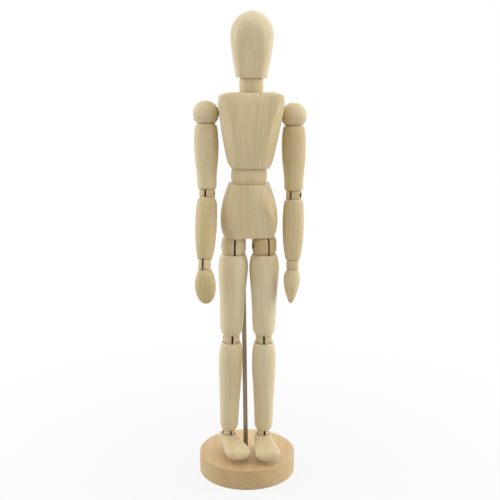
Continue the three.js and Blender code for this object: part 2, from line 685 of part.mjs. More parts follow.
function addTorso(figure) {
  const down = basis([1, 0, 0], [0, -1, 0], [0, 0, -1]);
  const set = joint(figure, "waist_set", "y", CHEST_LEAN, 0, 0, WAIST_Z);
  const turn = joint(set, "waist_turn", "z", WAIST_TURN);
  addBall(turn, "waist", WAIST, BORE_FLOOR, down, -1);
  const bend = joint(turn, "waist_bend", "x", CHEST_BEND);
  const spring = limbSpring("torso_spring", WAIST, NECK, NECK_RISE, CHEST_BORE_FLOOR);
  place(bend, "torso_spring", spring, STEEL, down);
  const chest = joint(bend, "chest_turn", "z", CHEST_TURN);
  place(chest, "chest", makeChest(), WOOD);
  place(chest, "shoulder_spring", makeShoulderSpring(), STEEL, move(0, SHOULDER_BACK, SHOULDER_RISE));
  const neck = joint(chest, "neck_turn", "z", NECK_TURN, 0, 0, NECK_RISE);
  addBall(neck, "neck", NECK, CHEST_BORE_FLOOR, down, -1);
  const tilt = joint(neck, "neck_set", "y", HEAD_LEAN);
  const nod = joint(tilt, "neck_bend", "x", HEAD_BEND);
  place(nod, "head_eye", eye(NECK, NECK.radius + HEAD_EYE_REACH), STEEL, down);
  const head = joint(nod, "head_turn", "z", HEAD_TURN);
  place(head, "head", makeHead(), WOOD);
  addArm(chest, "left", -1);
  addArm(chest, "right", 1);
}

function makeMannequin() {
  const whole = new THREE.Group();
  whole.name = "mannequin";
  const rodFoot = new THREE.Vector3(-ROD_FOOT_SIDE, 0, BASE_HEIGHT - ROD_BASE_DEPTH);
  const rodTop = new THREE.Vector3(FIGURE_SIDE - ROD_SIDE, 0, PELVIS_Z + ROD_PELVIS_DEPTH);
  const rodWay = rodTop.clone().sub(rodFoot);
  const rodAxis = new THREE.Matrix4().compose(
    rodFoot,
    new THREE.Quaternion().setFromUnitVectors(new THREE.Vector3(0, 0, 1), rodWay.clone().normalize()),
    new THREE.Vector3(1, 1, 1),
  );
  const rodLength = rodWay.length();
  place(whole, "base", makeBase(rodAxis), BASE_WOOD);
  place(whole, "support_rod", rod(ROD_RADIUS, 0, rodLength - FIT, 14), STEEL, rodAxis);
  const figure = new THREE.Group();
  figure.name = "figure";
  figure.position.set(FIGURE_SIDE, -ROD_BACK, 0);
  whole.add(figure);
  const hips = {};
  for (const [side, sign] of [["left", -1], ["right", 1]]) {
    const frame = new THREE.Matrix4().makeRotationY(rad(-sign * POSE[side].splay));
    hips[side] = frame.setPosition(sign * HIP_SIDE, 0, HIP_Z);
  }
  const toPelvis = move(-FIGURE_SIDE, ROD_BACK, -PELVIS_Z);
  const hipCuts = Object.values(hips).map((frame) => move(0, 0, -PELVIS_Z).multiply(frame));
  const pelvis = makePelvis(toPelvis.multiply(rodAxis), rodLength, hipCuts);
  place(figure, "pelvis", pelvis, WOOD, move(0, 0, PELVIS_Z));
  addLeg(figure, "left", hips.left);
  addLeg(figure, "right", hips.right);
  addTorso(figure);
  return whole;
}

export default makeMannequin();
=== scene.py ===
import json
import logging
import math
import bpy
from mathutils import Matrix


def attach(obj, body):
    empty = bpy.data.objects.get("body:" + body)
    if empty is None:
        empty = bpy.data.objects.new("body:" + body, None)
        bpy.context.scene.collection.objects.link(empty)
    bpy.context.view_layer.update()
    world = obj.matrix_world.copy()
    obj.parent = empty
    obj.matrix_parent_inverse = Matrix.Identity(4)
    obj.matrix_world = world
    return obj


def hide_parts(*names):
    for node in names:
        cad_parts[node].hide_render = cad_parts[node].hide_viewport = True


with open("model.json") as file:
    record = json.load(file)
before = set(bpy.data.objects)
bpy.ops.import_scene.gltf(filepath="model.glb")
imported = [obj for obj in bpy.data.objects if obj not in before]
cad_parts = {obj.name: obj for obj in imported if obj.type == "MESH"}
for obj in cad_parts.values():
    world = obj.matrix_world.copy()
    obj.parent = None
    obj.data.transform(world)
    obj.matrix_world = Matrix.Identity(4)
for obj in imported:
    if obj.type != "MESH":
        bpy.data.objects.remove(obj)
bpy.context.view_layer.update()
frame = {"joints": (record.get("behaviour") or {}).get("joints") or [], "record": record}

import zlib
from dataclasses import dataclass, field
from enum import Enum
from typing import ClassVar, Iterable, Optional, Sequence

import bmesh
import bpy
import numpy as np
from mathutils import Matrix, Vector

MM = 0.001
AXIS_EPS = 1e-6
SHARP_ANGLE = math.radians(38)
WELD = 0.004 * MM
SLIVER = 0.002 * MM
STEEP = 0.8
CORNER_LIMIT = 0.45
BALL_POLE = 0.08
ROUND = 2
NOISE_MIDDLE = 0.5
NOISE_RANGE = (0.3, 0.7)
ACROSS = Matrix.Rotation(math.pi / 2, 4, "Y")
LOG = logging.getLogger("mannequin")

Profile = list[tuple[float, float]]
Colour = tuple[float, float, float, float]
Stretch = tuple[float, float, float]
WHITE: Colour = (1, 1, 1, 1)

# Tones of the pieces, paler above 0 and darker below: partly each blank's own tone and partly painted light
# and shade, darker for pieces that lie in shade and paler for pieces that want more light; blackened steel
# lies at -1
PIECE_TONES_AND_PAINTED_LIGHT = {
    "head": 0.16, "neck_ball": -0.04, "chest": 0.0, "waist_ball": 0.16, "pelvis": -0.04,
    "left_shoulder_ball": 0.06, "right_shoulder_ball": 0.0, "left_upper_arm": -0.04, "right_upper_arm": -0.26,
    "left_elbow_ball": -0.1, "right_elbow_ball": -0.16, "left_forearm": -0.27, "right_forearm": -0.22,
    "left_wrist_ball": -0.1, "right_wrist_ball": -0.1, "left_hand": -0.36, "right_hand": -0.12,
    "left_hip_ball": 0.08, "right_hip_ball": -0.42, "left_thigh": 0.32, "right_thigh": 0.37,
    "left_knee_ball": 0.0, "right_knee_ball": 0.0, "left_shin": 0.16, "right_shin": 0.12,
    "left_ankle_ball": -0.06, "right_ankle_ball": -0.02, "left_foot": -0.12, "right_foot": -0.06,
    "support_rod": 0.0,
}
BLACKENED = -1.0


class Slot(Enum):
    """Material slots of the record."""

    WOOD = "wood"
    BASE_WOOD = "base_wood"
    STEEL = "steel"


class Side(Enum):
    """Side of the figure as the viewer sees it."""

    LEFT = "left"
    RIGHT = "right"

    @property
    def sign(self) -> float:
        """-1 on the viewer's left, 1 on the right."""
        return -1.0 if self is Side.LEFT else 1.0


class Fibre(Enum):
    """Direction of the wood's fibres in a piece's own frame, as the order of its axes."""

    UP = (0, 1, 2)
    FORWARD = (2, 0, 1)


class Cut(Enum):
    """How two solids are combined."""

    AWAY = "DIFFERENCE"
    JOIN = "UNION"


@dataclass(frozen=True)
class Facets:
    """Numbers of sides, rows and steps that the surfaces are made of."""

    rim: int = 3
    wire: int = 10
    bore: int = 32
    pin: int = 36
    rod: int = 40
    hand: int = 64
    foot: int = 64
    cutter: int = 72
    ball: int = 80
    limb: int = 84
    head: int = 112
    base: int = 128
    body: int = 144
    base_edge: int = 9
    rod_rows: int = 24
    ball_rows: int = 45
    limb_rows: int = 64
    hand_rows: int = 64
    pelvis_rows: int = 72
    chest_rows: int = 80
    head_rows: int = 80
    foot_rows: int = 96
    hand_seat: int = 10
    seat: int = 12
    waist_seat: int = 14
    pelvis_seat: int = 16
    cutter_seat: int = 34
    eye: int = 30


FACETS = Facets()


class Curve:
    """Smooth line through given values that never overshoots them."""

    def __init__(self, at: Sequence[float], values: Sequence[float]) -> None:
        """Work out the slopes.

        Args:
            at: Rising places along the line.
            values: The value at each place.
        """
        self._at = np.asarray(at, float)
        self._values = np.asarray(values, float)
        step = np.diff(self._at)
        rise = np.diff(self._values) / step
        slope = np.zeros_like(self._values)
        slope[0], slope[-1] = rise[0], rise[-1]
        for i in range(1, len(slope) - 1):
            if rise[i - 1] * rise[i] > 0:
                before = 2 * step[i] + step[i - 1]
                after = step[i] + 2 * step[i - 1]
                slope[i] = (before + after) / (before / rise[i - 1] + after / rise[i])
        self._slope = slope

    def __call__(self, where: np.ndarray) -> np.ndarray:
        """Values at the given places.

        Args:
            where: Places within the line's range.

        Returns:
            One value for each place.
        """
        k = np.clip(np.searchsorted(self._at, where) - 1, 0, len(self._at) - 2)
        step = self._at[k + 1] - self._at[k]
        t = (where - self._at[k]) / step
        start = (1 + 2 * t) * (1 - t) ** 2 * self._values[k]
        leave = t * (1 - t) ** 2 * step * self._slope[k]
        end = t**2 * (3 - 2 * t) * self._values[k + 1]
        arrive = t**2 * (t - 1) * step * self._slope[k + 1]
        return start + leave + end + arrive


def eased(count: int) -> np.ndarray:
    """Places from 0 to 1, closer together at both ends.

    Args:
        count: Number of places.

    Returns:
        The places in rising order.
    """
    return 0.5 - 0.5 * np.cos(np.linspace(0, math.pi, count))


def table_curves(table: Sequence[Sequence[float]], count: int) -> np.ndarray:
    """Many smooth rows from a short table of rows.

    Args:
        table: Rows of equal length, in order along the piece.
        count: Number of rows wanted.

    Returns:
        The rows as an array, first and last row unchanged.
    """
    rows = np.asarray(table, float)
    index = np.arange(len(rows))
    where = np.linspace(0, len(rows) - 1, count)
    return np.column_stack([Curve(index, column)(where) for column in rows.T])


def filled(table: Sequence[Sequence[float]], count: int) -> np.ndarray:
    """Smooth rows at the table's own places and at eased ones between them.

    Args:
        table: Rows that start with their place, from 0 to 1.
        count: Number of eased places.

    Returns:
        The rows as an array.
    """
    places, *columns = np.asarray(table, float).T
    where = np.union1d(eased(count), places)
    return np.column_stack([where, *(Curve(places, column)(where) for column in columns)])


def oval(
    z: float, half_width: float, half_depth: float, power: float, count: int, front: Optional[float] = None
) -> np.ndarray:
    """Level ring between an ellipse and a box.

    Args:
        z: Height of the ring.
        half_width: Reach along X.
        half_depth: Reach along Y.
        power: 2 for an ellipse, more for squarer corners.
        count: Number of points.
        front: Power of the front half where it differs.

    Returns:
        The ring's points.
    """
    t = np.linspace(0, 2 * math.pi, count, endpoint=False)
    c, s = np.cos(t), np.sin(t)
    exponent = 2 / np.where(s < -AXIS_EPS, front or power, power)
    x = half_width * np.sign(c) * np.abs(c) ** exponent
    y = half_depth * np.sign(s) * np.abs(s) ** exponent
    return np.column_stack([x, y, np.full(count, z)])


def arc(radius: float, start: float, end: float, centre: float, steps: int) -> Profile:
    """Round stretch of a turned profile.

    Args:
        radius: Radius of the round.
        start: First angle from straight up, in radians.
        end: Last angle.
        centre: Height of the round's centre on the axis.
        steps: Number of stretches.

    Returns:
        Pairs of radius and height.
    """
    angles = np.linspace(start, end, steps + 1)
    return [(radius * math.sin(a), centre + radius * math.cos(a)) for a in angles]


def hoops(profile: Profile, count: int) -> list[np.ndarray]:
    """Round level rings for a turned profile."""
    return [oval(z, r, r, ROUND, count) for r, z in profile]


def softened(corner: Sequence[Sequence[float]], reach: float) -> Profile:
    """Rounded corner of a profile.

    Args:
        corner: The point before the corner, the corner, and the point after it.
        reach: Length taken from both edges.

    Returns:
        Points that stand for the corner.
    """
    before, middle, after = (np.asarray(p, float) for p in corner)
    way_in, way_out = before - middle, after - middle
    first = middle + way_in * min(reach / np.linalg.norm(way_in), CORNER_LIMIT)
    last = middle + way_out * min(reach / np.linalg.norm(way_out), CORNER_LIMIT)
    shares = np.linspace(0, 1, FACETS.rim + 1)
    bend = [(1 - t) ** 2 * first + 2 * t * (1 - t) * middle + t**2 * last for t in shares]
    return [(float(p[0]), float(p[1])) for p in bend]


def frame_at(origin: Vector, up: Vector, side: Vector) -> Matrix:
    """Frame with Z along up and X along side.

    Args:
        origin: Origin in millimetres.
        up: Direction of Z.
        side: Direction of X, made square to up.

    Returns:
        The frame as a matrix in millimetres.
    """
    z = up.normalized()
    x = (side - z * side.dot(z)).normalized()
    frame_matrix = Matrix((x, z.cross(x), z)).transposed().to_4x4()
    frame_matrix.translation = origin
    return frame_matrix


@dataclass
class Skin:
    """Closed surface in millimetres, in the piece's own frame."""

    points: np.ndarray
    faces: list[tuple[int, ...]]

    @classmethod
    def loft(
        cls,
        rings: Sequence[np.ndarray],
        start: Optional[Sequence[float]] = None,
        end: Optional[Sequence[float]] = None,
        looped: bool = False,
    ) -> "Skin":
        """Skin over rings of equal count.

        Args:
            rings: The rings in order.
            start: Point that closes the first ring.
            end: Point that closes the last ring.
            looped: True where the last ring joins the first.

        Returns:
            The skin.
        """
        count = len(rings[0])
        points = np.concatenate([np.asarray(r, float) for r in rings])
        faces: list[tuple[int, ...]] = []
        for k in range(len(rings) if looped else len(rings) - 1):
            a, b = k * count, ((k + 1) % len(rings)) * count
            for i in range(count):
                j = (i + 1) % count
                faces.append((a + i, a + j, b + j, b + i))
        for tip, first in ((start, 0), (end, (len(rings) - 1) * count)):
            if tip is not None:
                top = len(points)
                points = np.vstack([points, np.asarray(tip, float)])
                faces += [(first + i, first + (i + 1) % count, top) for i in range(count)]
        return cls(points, faces)

    @classmethod
    def turned(cls, profile: Profile, segments: int) -> "Skin":
        """Piece turned about Z.

        Args:
            profile: Pairs of radius and height, from axis to axis or round a closed loop.
            segments: Sides of the piece.

        Returns:
            The skin.
        """
        t = np.linspace(0, 2 * math.pi, segments, endpoint=False)
        rings: list[np.ndarray] = []
        tips: list[Optional[tuple[float, float, float]]] = [None, None]
        for r, z in profile:
            if r < AXIS_EPS:
                tips[1 if rings else 0] = (0.0, 0.0, z)
            else:
                rings.append(np.column_stack([r * np.cos(t), r * np.sin(t), np.full(segments, z)]))
        return cls.loft(rings, tips[0], tips[1], looped=tips == [None, None])

    @classmethod
    def bar(cls, radius: float, low: float, high: float, segments: int) -> "Skin":
        """Round bar along Z from low to high."""
        return cls.turned([(0, low), (radius, low), (radius, high), (0, high)], segments)

    @classmethod
    def ball(cls, radius: float) -> "Skin":
        """Round cutter for a seat, centred on the origin."""
        side = arc(radius, BALL_POLE, math.pi - BALL_POLE, 0, FACETS.cutter_seat)
        return cls.turned([(0, radius), *side, (0, -radius)], FACETS.cutter)

    @classmethod
    def block(cls, low: Sequence[float], high: Sequence[float]) -> "Skin":
        """Box from its lowest to its highest corner."""
        levels = (low[2], high[2])
        outline = [(low[0], low[1]), (high[0], low[1]), (high[0], high[1]), (low[0], high[1])]
        points = np.array([(x, y, z) for z in levels for x, y in outline])
        faces = [(3, 2, 1, 0), (4, 5, 6, 7), (0, 1, 5, 4), (1, 2, 6, 5), (2, 3, 7, 6), (3, 0, 4, 7)]
        return cls(points, faces)

    @classmethod
    def wire(cls, path: np.ndarray, radius: float) -> "Skin":
        """Round wire along a path.

        Args:
            path: Points along the middle of the wire.
            radius: Radius of the wire.

        Returns:
            The skin with both ends closed.
        """
        along = np.gradient(path, axis=0)
        along /= np.linalg.norm(along, axis=1)[:, None]
        normal = np.array([0.0, 1.0, 0.0] if abs(along[0][2]) > STEEP else [0.0, 0.0, 1.0])
        t = np.linspace(0, 2 * math.pi, FACETS.wire, endpoint=False)
        rings = []
        for point, way in zip(path, along):
            normal = normal - way * (normal @ way)
            normal /= np.linalg.norm(normal)
            other = np.cross(way, normal)
            rings.append(point + radius * (np.outer(np.cos(t), normal) + np.outer(np.sin(t), other)))
        return cls.loft(rings, path[0], path[-1])

    def moved(self, place: Matrix) -> "Skin":
        """The same skin in another frame.

        Args:
            place: The frame in millimetres.

        Returns:
            The moved skin.
        """
        m = np.array(place)
        return Skin(self.points @ m[:3, :3].T + m[:3, 3], self.faces)

    def shaved(self, point: Sequence[float], normal: Sequence[float], soft: float) -> "Skin":
        """The skin with a flat sanded on it.

        Args:
            point: A point on the flat.
            normal: Direction out of the flat.
            soft: Width over which the flat's edge is rounded.

        Returns:
            The skin with its flat.
        """
        n = np.asarray(normal, float)
        n /= np.linalg.norm(n)
        height = (self.points - np.asarray(point, float)) @ n
        share = np.clip(0.5 - 0.5 * height / soft, 0, 1)
        level = height * share - soft * share * (1 - share)
        return Skin(self.points + np.outer(level - height, n), self.faces)

    def mesh(self, name: str) -> bpy.types.Mesh:
        """Mesh of this skin in metres.

        Args:
            name: Name of the mesh.

        Returns:
            The mesh, with its normals outwards.
        """
        made = bpy.data.meshes.new(name)
        made.from_pydata((self.points * MM).tolist(), [], self.faces)
        work = bmesh.new()
        work.from_mesh(made)
        bmesh.ops.recalc_face_normals(work, faces=work.faces)
        work.to_mesh(made)
        work.free()
        return made


@dataclass(frozen=True)
class GrainLay:
    """How a piece lies in its blank: the heart of the tree, its turn, and its tone, which is partly the
    blank's own and partly painted light and shade on the whole piece.
    """

    heart: tuple[float, float]
    turn: float
    start: float
    tone: float
    fibre: Fibre = Fibre.UP
    nearest_heart: ClassVar[float] = 34.0
    farthest_heart: ClassVar[float] = 70.0
    trunk: ClassVar[float] = 900.0

    @classmethod
    def of(cls, name: str, fibre: Fibre = Fibre.UP) -> "GrainLay":
        """Lay that belongs to a piece's name, the same in every run.

        Args:
            name: Name of the piece.
            fibre: Direction of the fibres.

        Returns:
            The lay.
        """
        draw = np.random.default_rng(zlib.crc32(name.encode()))
        bearing = draw.uniform(0, 2 * math.pi)
        reach = draw.uniform(cls.nearest_heart, cls.farthest_heart)
        heart = (reach * math.cos(bearing), reach * math.sin(bearing))
        # The piece's tone, partly its own and partly painted light and shade.
        tone = PIECE_TONES_AND_PAINTED_LIGHT.get(name, BLACKENED)
        return cls(heart, draw.uniform(0, 2 * math.pi), draw.uniform(0, cls.trunk), tone, fibre)

    def coordinates(self, points: np.ndarray) -> np.ndarray:
        """Places in the tree for points of the piece.

        Args:
            points: Points in millimetres in the piece's own frame.

        Returns:
            Points with Z along the fibres and the heart at the origin.
        """
        laid = points[:, list(self.fibre.value)]
        c, s = math.cos(self.turn), math.sin(self.turn)
        across = laid[:, 0] * c - laid[:, 1] * s + self.heart[0]
        deep = laid[:, 0] * s + laid[:, 1] * c + self.heart[1]
        return np.column_stack([across, deep, laid[:, 2] + self.start])


class Bench:
    """Lays out and joins the nodes of one shader."""

    def __init__(self, tree: bpy.types.NodeTree) -> None:
        """Start with an empty tree.

        Args:
            tree: The node tree to fill.
        """
        self._tree = tree
        tree.nodes.clear()

    def node(self, kind: str, **settings: object) -> bpy.types.Node:
        """New node.

        Args:
            kind: Node type without its ShaderNode start.
            settings: Properties of the node.

        Returns:
            The node.
        """
        made = self._tree.nodes.new("ShaderNode" + kind)
        for key, value in settings.items():
            setattr(made, key, value)
        return made

    def join(self, source: bpy.types.NodeSocket, target: bpy.types.NodeSocket) -> None:
        """Link two sockets."""
        self._tree.links.new(source, target)

    def feed(self, target: bpy.types.NodeSocket, value: object) -> None:
        """Link a socket, or set a plain value.

        Args:
            target: Input socket.
            value: Another node's output, or a number, vector or colour.
        """
        if isinstance(value, bpy.types.NodeSocket):
            self.join(value, target)
        else:
            target.default_value = value

    def math(self, operation: str, *values: object) -> bpy.types.NodeSocket:
        """Result of a number operation.

        Args:
            operation: Blender's name of the operation.
            values: Sockets or numbers.

        Returns:
            The output socket.
        """
        made = self.node("Math", operation=operation)
        for socket, value in zip(made.inputs, values):
            self.feed(socket, value)
        return made.outputs[0]

    def vector(self, operation: str, *values: object) -> bpy.types.NodeSocket:
        """Result of a vector operation.

        Args:
            operation: Blender's name of the operation.
            values: Sockets or vectors.

        Returns:
            The output socket that the operation uses.
        """
        made = self.node("VectorMath", operation=operation)
        for socket, value in zip(made.inputs, values):
            self.feed(socket, value)
        return made.outputs["Value" if operation == "LENGTH" else "Vector"]

    def noise(
        self, where: bpy.types.NodeSocket, scale: float, detail: float, roughness: float = 0.5
    ) -> bpy.types.Node:
        """Noise over given places.

        Args:
            where: Places.
            scale: Waves in a millimetre.
            detail: Number of finer layers.
            roughness: Share of the finer layers.

        Returns:
            The noise node.
        """
        made = self.node("TexNoise")
        self.join(where, made.inputs["Vector"])
        made.inputs["Scale"].default_value = scale
        made.inputs["Detail"].default_value = detail
        made.inputs["Roughness"].default_value = roughness
        return made

    def drawn(
        self,
        where: bpy.types.NodeSocket,
        stretch: Stretch,
        scale: float = 1.0,
        detail: float = 2,
        roughness: float = 0.5,
    ) -> bpy.types.NodeSocket:
        """Noise that is drawn out along the fibres.

        Args:
            where: Places.
            stretch: Factors on the places.
            scale: Waves in a millimetre.
            detail: Number of finer layers.
            roughness: Share of the finer layers.

        Returns:
            The output socket.
        """
        return self.noise(self.vector("MULTIPLY", where, stretch), scale, detail, roughness).outputs["Fac"]

    def centred(self, noise: bpy.types.NodeSocket) -> bpy.types.NodeSocket:
        """Noise with its middle at 0."""
        return self.math("SUBTRACT", noise, NOISE_MIDDLE)

    def blend(self, share: object, first: object, second: object) -> bpy.types.NodeSocket:
        """Colour between two colours.

        Args:
            share: Share of the second colour.
            first: Socket or colour.
            second: Socket or colour.

        Returns:
            The mixed colour.
        """
        # Of the mix node's sockets for all data types, 6 and 7 take colours and 2 gives one
        made = self.node("Mix", data_type="RGBA")
        self.feed(made.inputs[0], share)
        self.feed(made.inputs[6], first)
        self.feed(made.inputs[7], second)
        return made.outputs[2]

    def mixed(
        self, share: bpy.types.NodeSocket, first: bpy.types.Node, second: bpy.types.Node
    ) -> bpy.types.NodeSocket:
        """Shader between two shaders.

        Args:
            share: Share of the second shader.
            first: Shader node.
            second: Shader node.

        Returns:
            The mixed shader.
        """
        made = self.node("MixShader")
        self.join(share, made.inputs["Fac"])
        self.join(first.outputs[0], made.inputs[1])
        self.join(second.outputs[0], made.inputs[2])
        return made.outputs[0]

    def emboss(
        self, shader: bpy.types.Node, height: bpy.types.NodeSocket, relief: float, depth: float
    ) -> None:
        """Give a shader its relief.

        Args:
            shader: Shader node.
            height: Height of the surface.
            relief: Share of the relief that shows.
            depth: Depth of the relief in millimetres.
        """
        bump = self.node("Bump")
        bump.inputs["Strength"].default_value = relief
        bump.inputs["Distance"].default_value = depth * MM
        self.join(height, bump.inputs["Height"])
        self.join(bump.outputs["Normal"], shader.inputs["Normal"])

    def show(self, surface: bpy.types.NodeSocket, kind: str = "OutputMaterial") -> None:
        """End the tree with its output node."""
        self.join(surface, self.node(kind).inputs["Surface"])

    def looked_at(self) -> bpy.types.NodeSocket:
        """1 for rays that see the surroundings themselves, in the camera or in a mirror or glass.

        Returns:
            The output socket.
        """
        light = self.node("LightPath").outputs
        mirrored = self.math("MAXIMUM", light["Is Glossy Ray"], light["Is Transmission Ray"])
        return self.math("MAXIMUM", light["Is Camera Ray"], mirrored)

    def span(
        self, value: object, low: float, high: float, to_low: float, to_high: float
    ) -> bpy.types.NodeSocket:
        """Value carried from one range to another and held at its ends.

        Args:
            value: Socket to carry.
            low: Start of its range.
            high: End of its range.
            to_low: Result at the start.
            to_high: Result at the end.

        Returns:
            The output socket.
        """
        made = self.node("MapRange")
        for socket, given in zip(made.inputs, (value, low, high, to_low, to_high)):
            self.feed(socket, given)
        return made.outputs[0]


@dataclass(frozen=True)
class WoodFinish:
    """Sanded pale wood with growth rings, fibres and small pores."""

    name: str
    pale: Colour
    deep: Colour
    warm: Colour
    pore: Colour
    ring_spacing: float
    ring_share: float = 0.12
    fibre_share: float = 0.5
    cloud_share: float = 0.6
    warp: float = 1.8
    wander: float = 1.9
    gloss_low: float = 0.38
    gloss_high: float = 0.52
    sheen: float = 0.5
    nap: float = 0.22
    relief: float = 0.16
    relief_depth: float = 0.12
    ring_relief: float = 0.25
    drift_scale: float = 0.03
    fibre_stretch: Stretch = (1.5, 1.5, 0.05)
    cloud_stretch: Stretch = (1.0, 1.0, 0.25)
    cloud_scale: float = 0.07
    pore_stretch: Stretch = (4.0, 4.0, 0.32)
    ring_stretch: Stretch = (1.0, 1.0, 0.06)
    ring_wave: float = 0.16
    ring_edge: float = 1.8
    middle_tone: float = 0.36
    warm_range: tuple[float, float] = (0.48, 0.68)
    warm_share: float = 0.55
    pore_range: tuple[float, float] = (0.63, 0.74)
    pore_share: float = 0.42

    def material(self) -> bpy.types.Material:
        """Build the shader.

        Returns:
            The material.
        """
        made = bpy.data.materials.new(self.name)
        made.use_nodes = True
        bench = Bench(made.node_tree)
        grain = bench.node("Attribute", attribute_name="grain").outputs["Vector"]
        tone = bench.node("Attribute", attribute_name="tone").outputs["Fac"]
        sway = bench.noise(grain, self.drift_scale, 2).outputs["Color"]
        drift = bench.vector("SUBTRACT", sway, (NOISE_MIDDLE,) * 3)
        place = bench.vector("ADD", grain, bench.vector("MULTIPLY", drift, (self.warp, self.warp, 0.0)))
        ring = self._rings(bench, place)
        fibre = bench.drawn(place, self.fibre_stretch, detail=5, roughness=0.62)
        cloud = bench.drawn(place, self.cloud_stretch, self.cloud_scale, detail=3)
        pores = bench.drawn(place, self.pore_stretch)
        colour = self._colour(bench, tone, ring, fibre, cloud, pores)
        shader = bench.node("BsdfPrincipled")
        bench.join(colour, shader.inputs["Base Color"])
        gloss = bench.span(fibre, *NOISE_RANGE, self.gloss_low, self.gloss_high)
        bench.join(gloss, shader.inputs["Roughness"])
        shader.inputs["Specular IOR Level"].default_value = self.sheen
        shader.inputs["Sheen Weight"].default_value = self.nap
        height = bench.math("MULTIPLY_ADD", ring, self.ring_relief, fibre)
        bench.emboss(shader, height, self.relief, self.relief_depth)
        bench.show(shader.outputs[0])
        return made

    def _rings(self, bench: Bench, place: bpy.types.NodeSocket) -> bpy.types.NodeSocket:
        """Growth rings round the heart.

        Args:
            bench: Shader to build in.
            place: Places in the tree.

        Returns:
            0 in early wood, 1 in late wood.
        """
        radius = bench.vector("LENGTH", bench.vector("MULTIPLY", place, (1.0, 1.0, 0.0)))
        uneven = bench.drawn(place, self.ring_stretch, self.ring_wave)
        even = bench.math("DIVIDE", radius, self.ring_spacing)
        turns = bench.math("MULTIPLY_ADD", uneven, self.wander, even)
        wave = bench.math("SINE", bench.math("MULTIPLY", turns, 2 * math.pi))
        return bench.math("POWER", bench.span(wave, -1, 1, 0, 1), self.ring_edge)

    def _colour(
        self,
        bench: Bench,
        tone: bpy.types.NodeSocket,
        ring: bpy.types.NodeSocket,
        fibre: bpy.types.NodeSocket,
        cloud: bpy.types.NodeSocket,
        pores: bpy.types.NodeSocket,
    ) -> bpy.types.NodeSocket:
        """Colour of the wood.

        Args:
            bench: Shader to build in.
            tone: The piece's tone, partly its own and partly painted light and shade that makes the whole
                piece paler or darker.
            ring: Growth rings.
            fibre: Fine fibres.
            cloud: Broad variation.
            pores: Small dark pores.

        Returns:
            The colour socket.
        """
        depth = bench.math("MULTIPLY_ADD", ring, self.ring_share, self.middle_tone)
        depth = bench.math("MULTIPLY_ADD", bench.centred(fibre), self.fibre_share, depth)
        depth = bench.math("MULTIPLY_ADD", bench.centred(cloud), self.cloud_share, depth)
        # Painted light and shade: the piece's tone shifts the whole piece paler or darker, partly for its own
        # wood and partly for how light falls on it.
        depth = bench.math("SUBTRACT", depth, tone)
        wood = bench.blend(bench.span(depth, 0, 1, 0, 1), self.pale, self.deep)
        wood = bench.blend(bench.span(cloud, *self.warm_range, 0, self.warm_share), wood, self.warm)
        return bench.blend(bench.span(pores, *self.pore_range, 0, self.pore_share), wood, self.pore)


@dataclass(frozen=True)
class SteelFinish:
    """Drawn steel wire and rod, a little dull and brown."""

    name: str = "drawn_steel"
    bright: Colour = (0.38, 0.335, 0.265, 1)
    dull: Colour = (0.25, 0.21, 0.15, 1)
    black: Colour = (0.03, 0.024, 0.017, 1)
    drawn_stretch: Stretch = (5.0, 5.0, 0.1)
    drawn_share: float = 0.6
    stain_stretch: Stretch = (0.5, 0.5, 0.12)
    oxide_range: tuple[float, float] = (-0.9, -0.3)
    oxide_stain: float = 0.3
    gloss_low: float = 0.32
    gloss_high: float = 0.5
    relief: float = 0.12
    relief_depth: float = 0.04

    def material(self) -> bpy.types.Material:
        """Build the shader.

        Returns:
            The material.
        """
        made = bpy.data.materials.new(self.name)
        made.use_nodes = True
        bench = Bench(made.node_tree)
        grain = bench.node("Attribute", attribute_name="grain").outputs["Vector"]
        drawn = bench.drawn(grain, self.drawn_stretch, detail=4, roughness=0.6)
        stain = bench.drawn(grain, self.stain_stretch, detail=4, roughness=0.65)
        shader = bench.node("BsdfPrincipled")
        shader.inputs["Metallic"].default_value = 1.0
        shade = bench.math("MULTIPLY_ADD", bench.centred(drawn), self.drawn_share, stain)
        colour = bench.blend(bench.span(shade, *NOISE_RANGE, 0, 1), self.bright, self.dull)
        tone = bench.node("Attribute", attribute_name="tone").outputs["Fac"]
        oxide = bench.span(bench.math("MULTIPLY_ADD", stain, self.oxide_stain, tone), *self.oxide_range, 1, 0)
        bench.join(bench.blend(oxide, colour, self.black), shader.inputs["Base Color"])
        gloss = bench.span(drawn, *NOISE_RANGE, self.gloss_low, self.gloss_high)
        bench.join(gloss, shader.inputs["Roughness"])
        bench.emboss(shader, drawn, self.relief, self.relief_depth)
        bench.show(shader.outputs[0])
        return made


@dataclass(frozen=True)
class BallSize:
    """Sizes of one slotted ball."""

    radius: float
    barrel: float
    open: float
    pin: float
    wall: float = 0.0
    round: bool = False


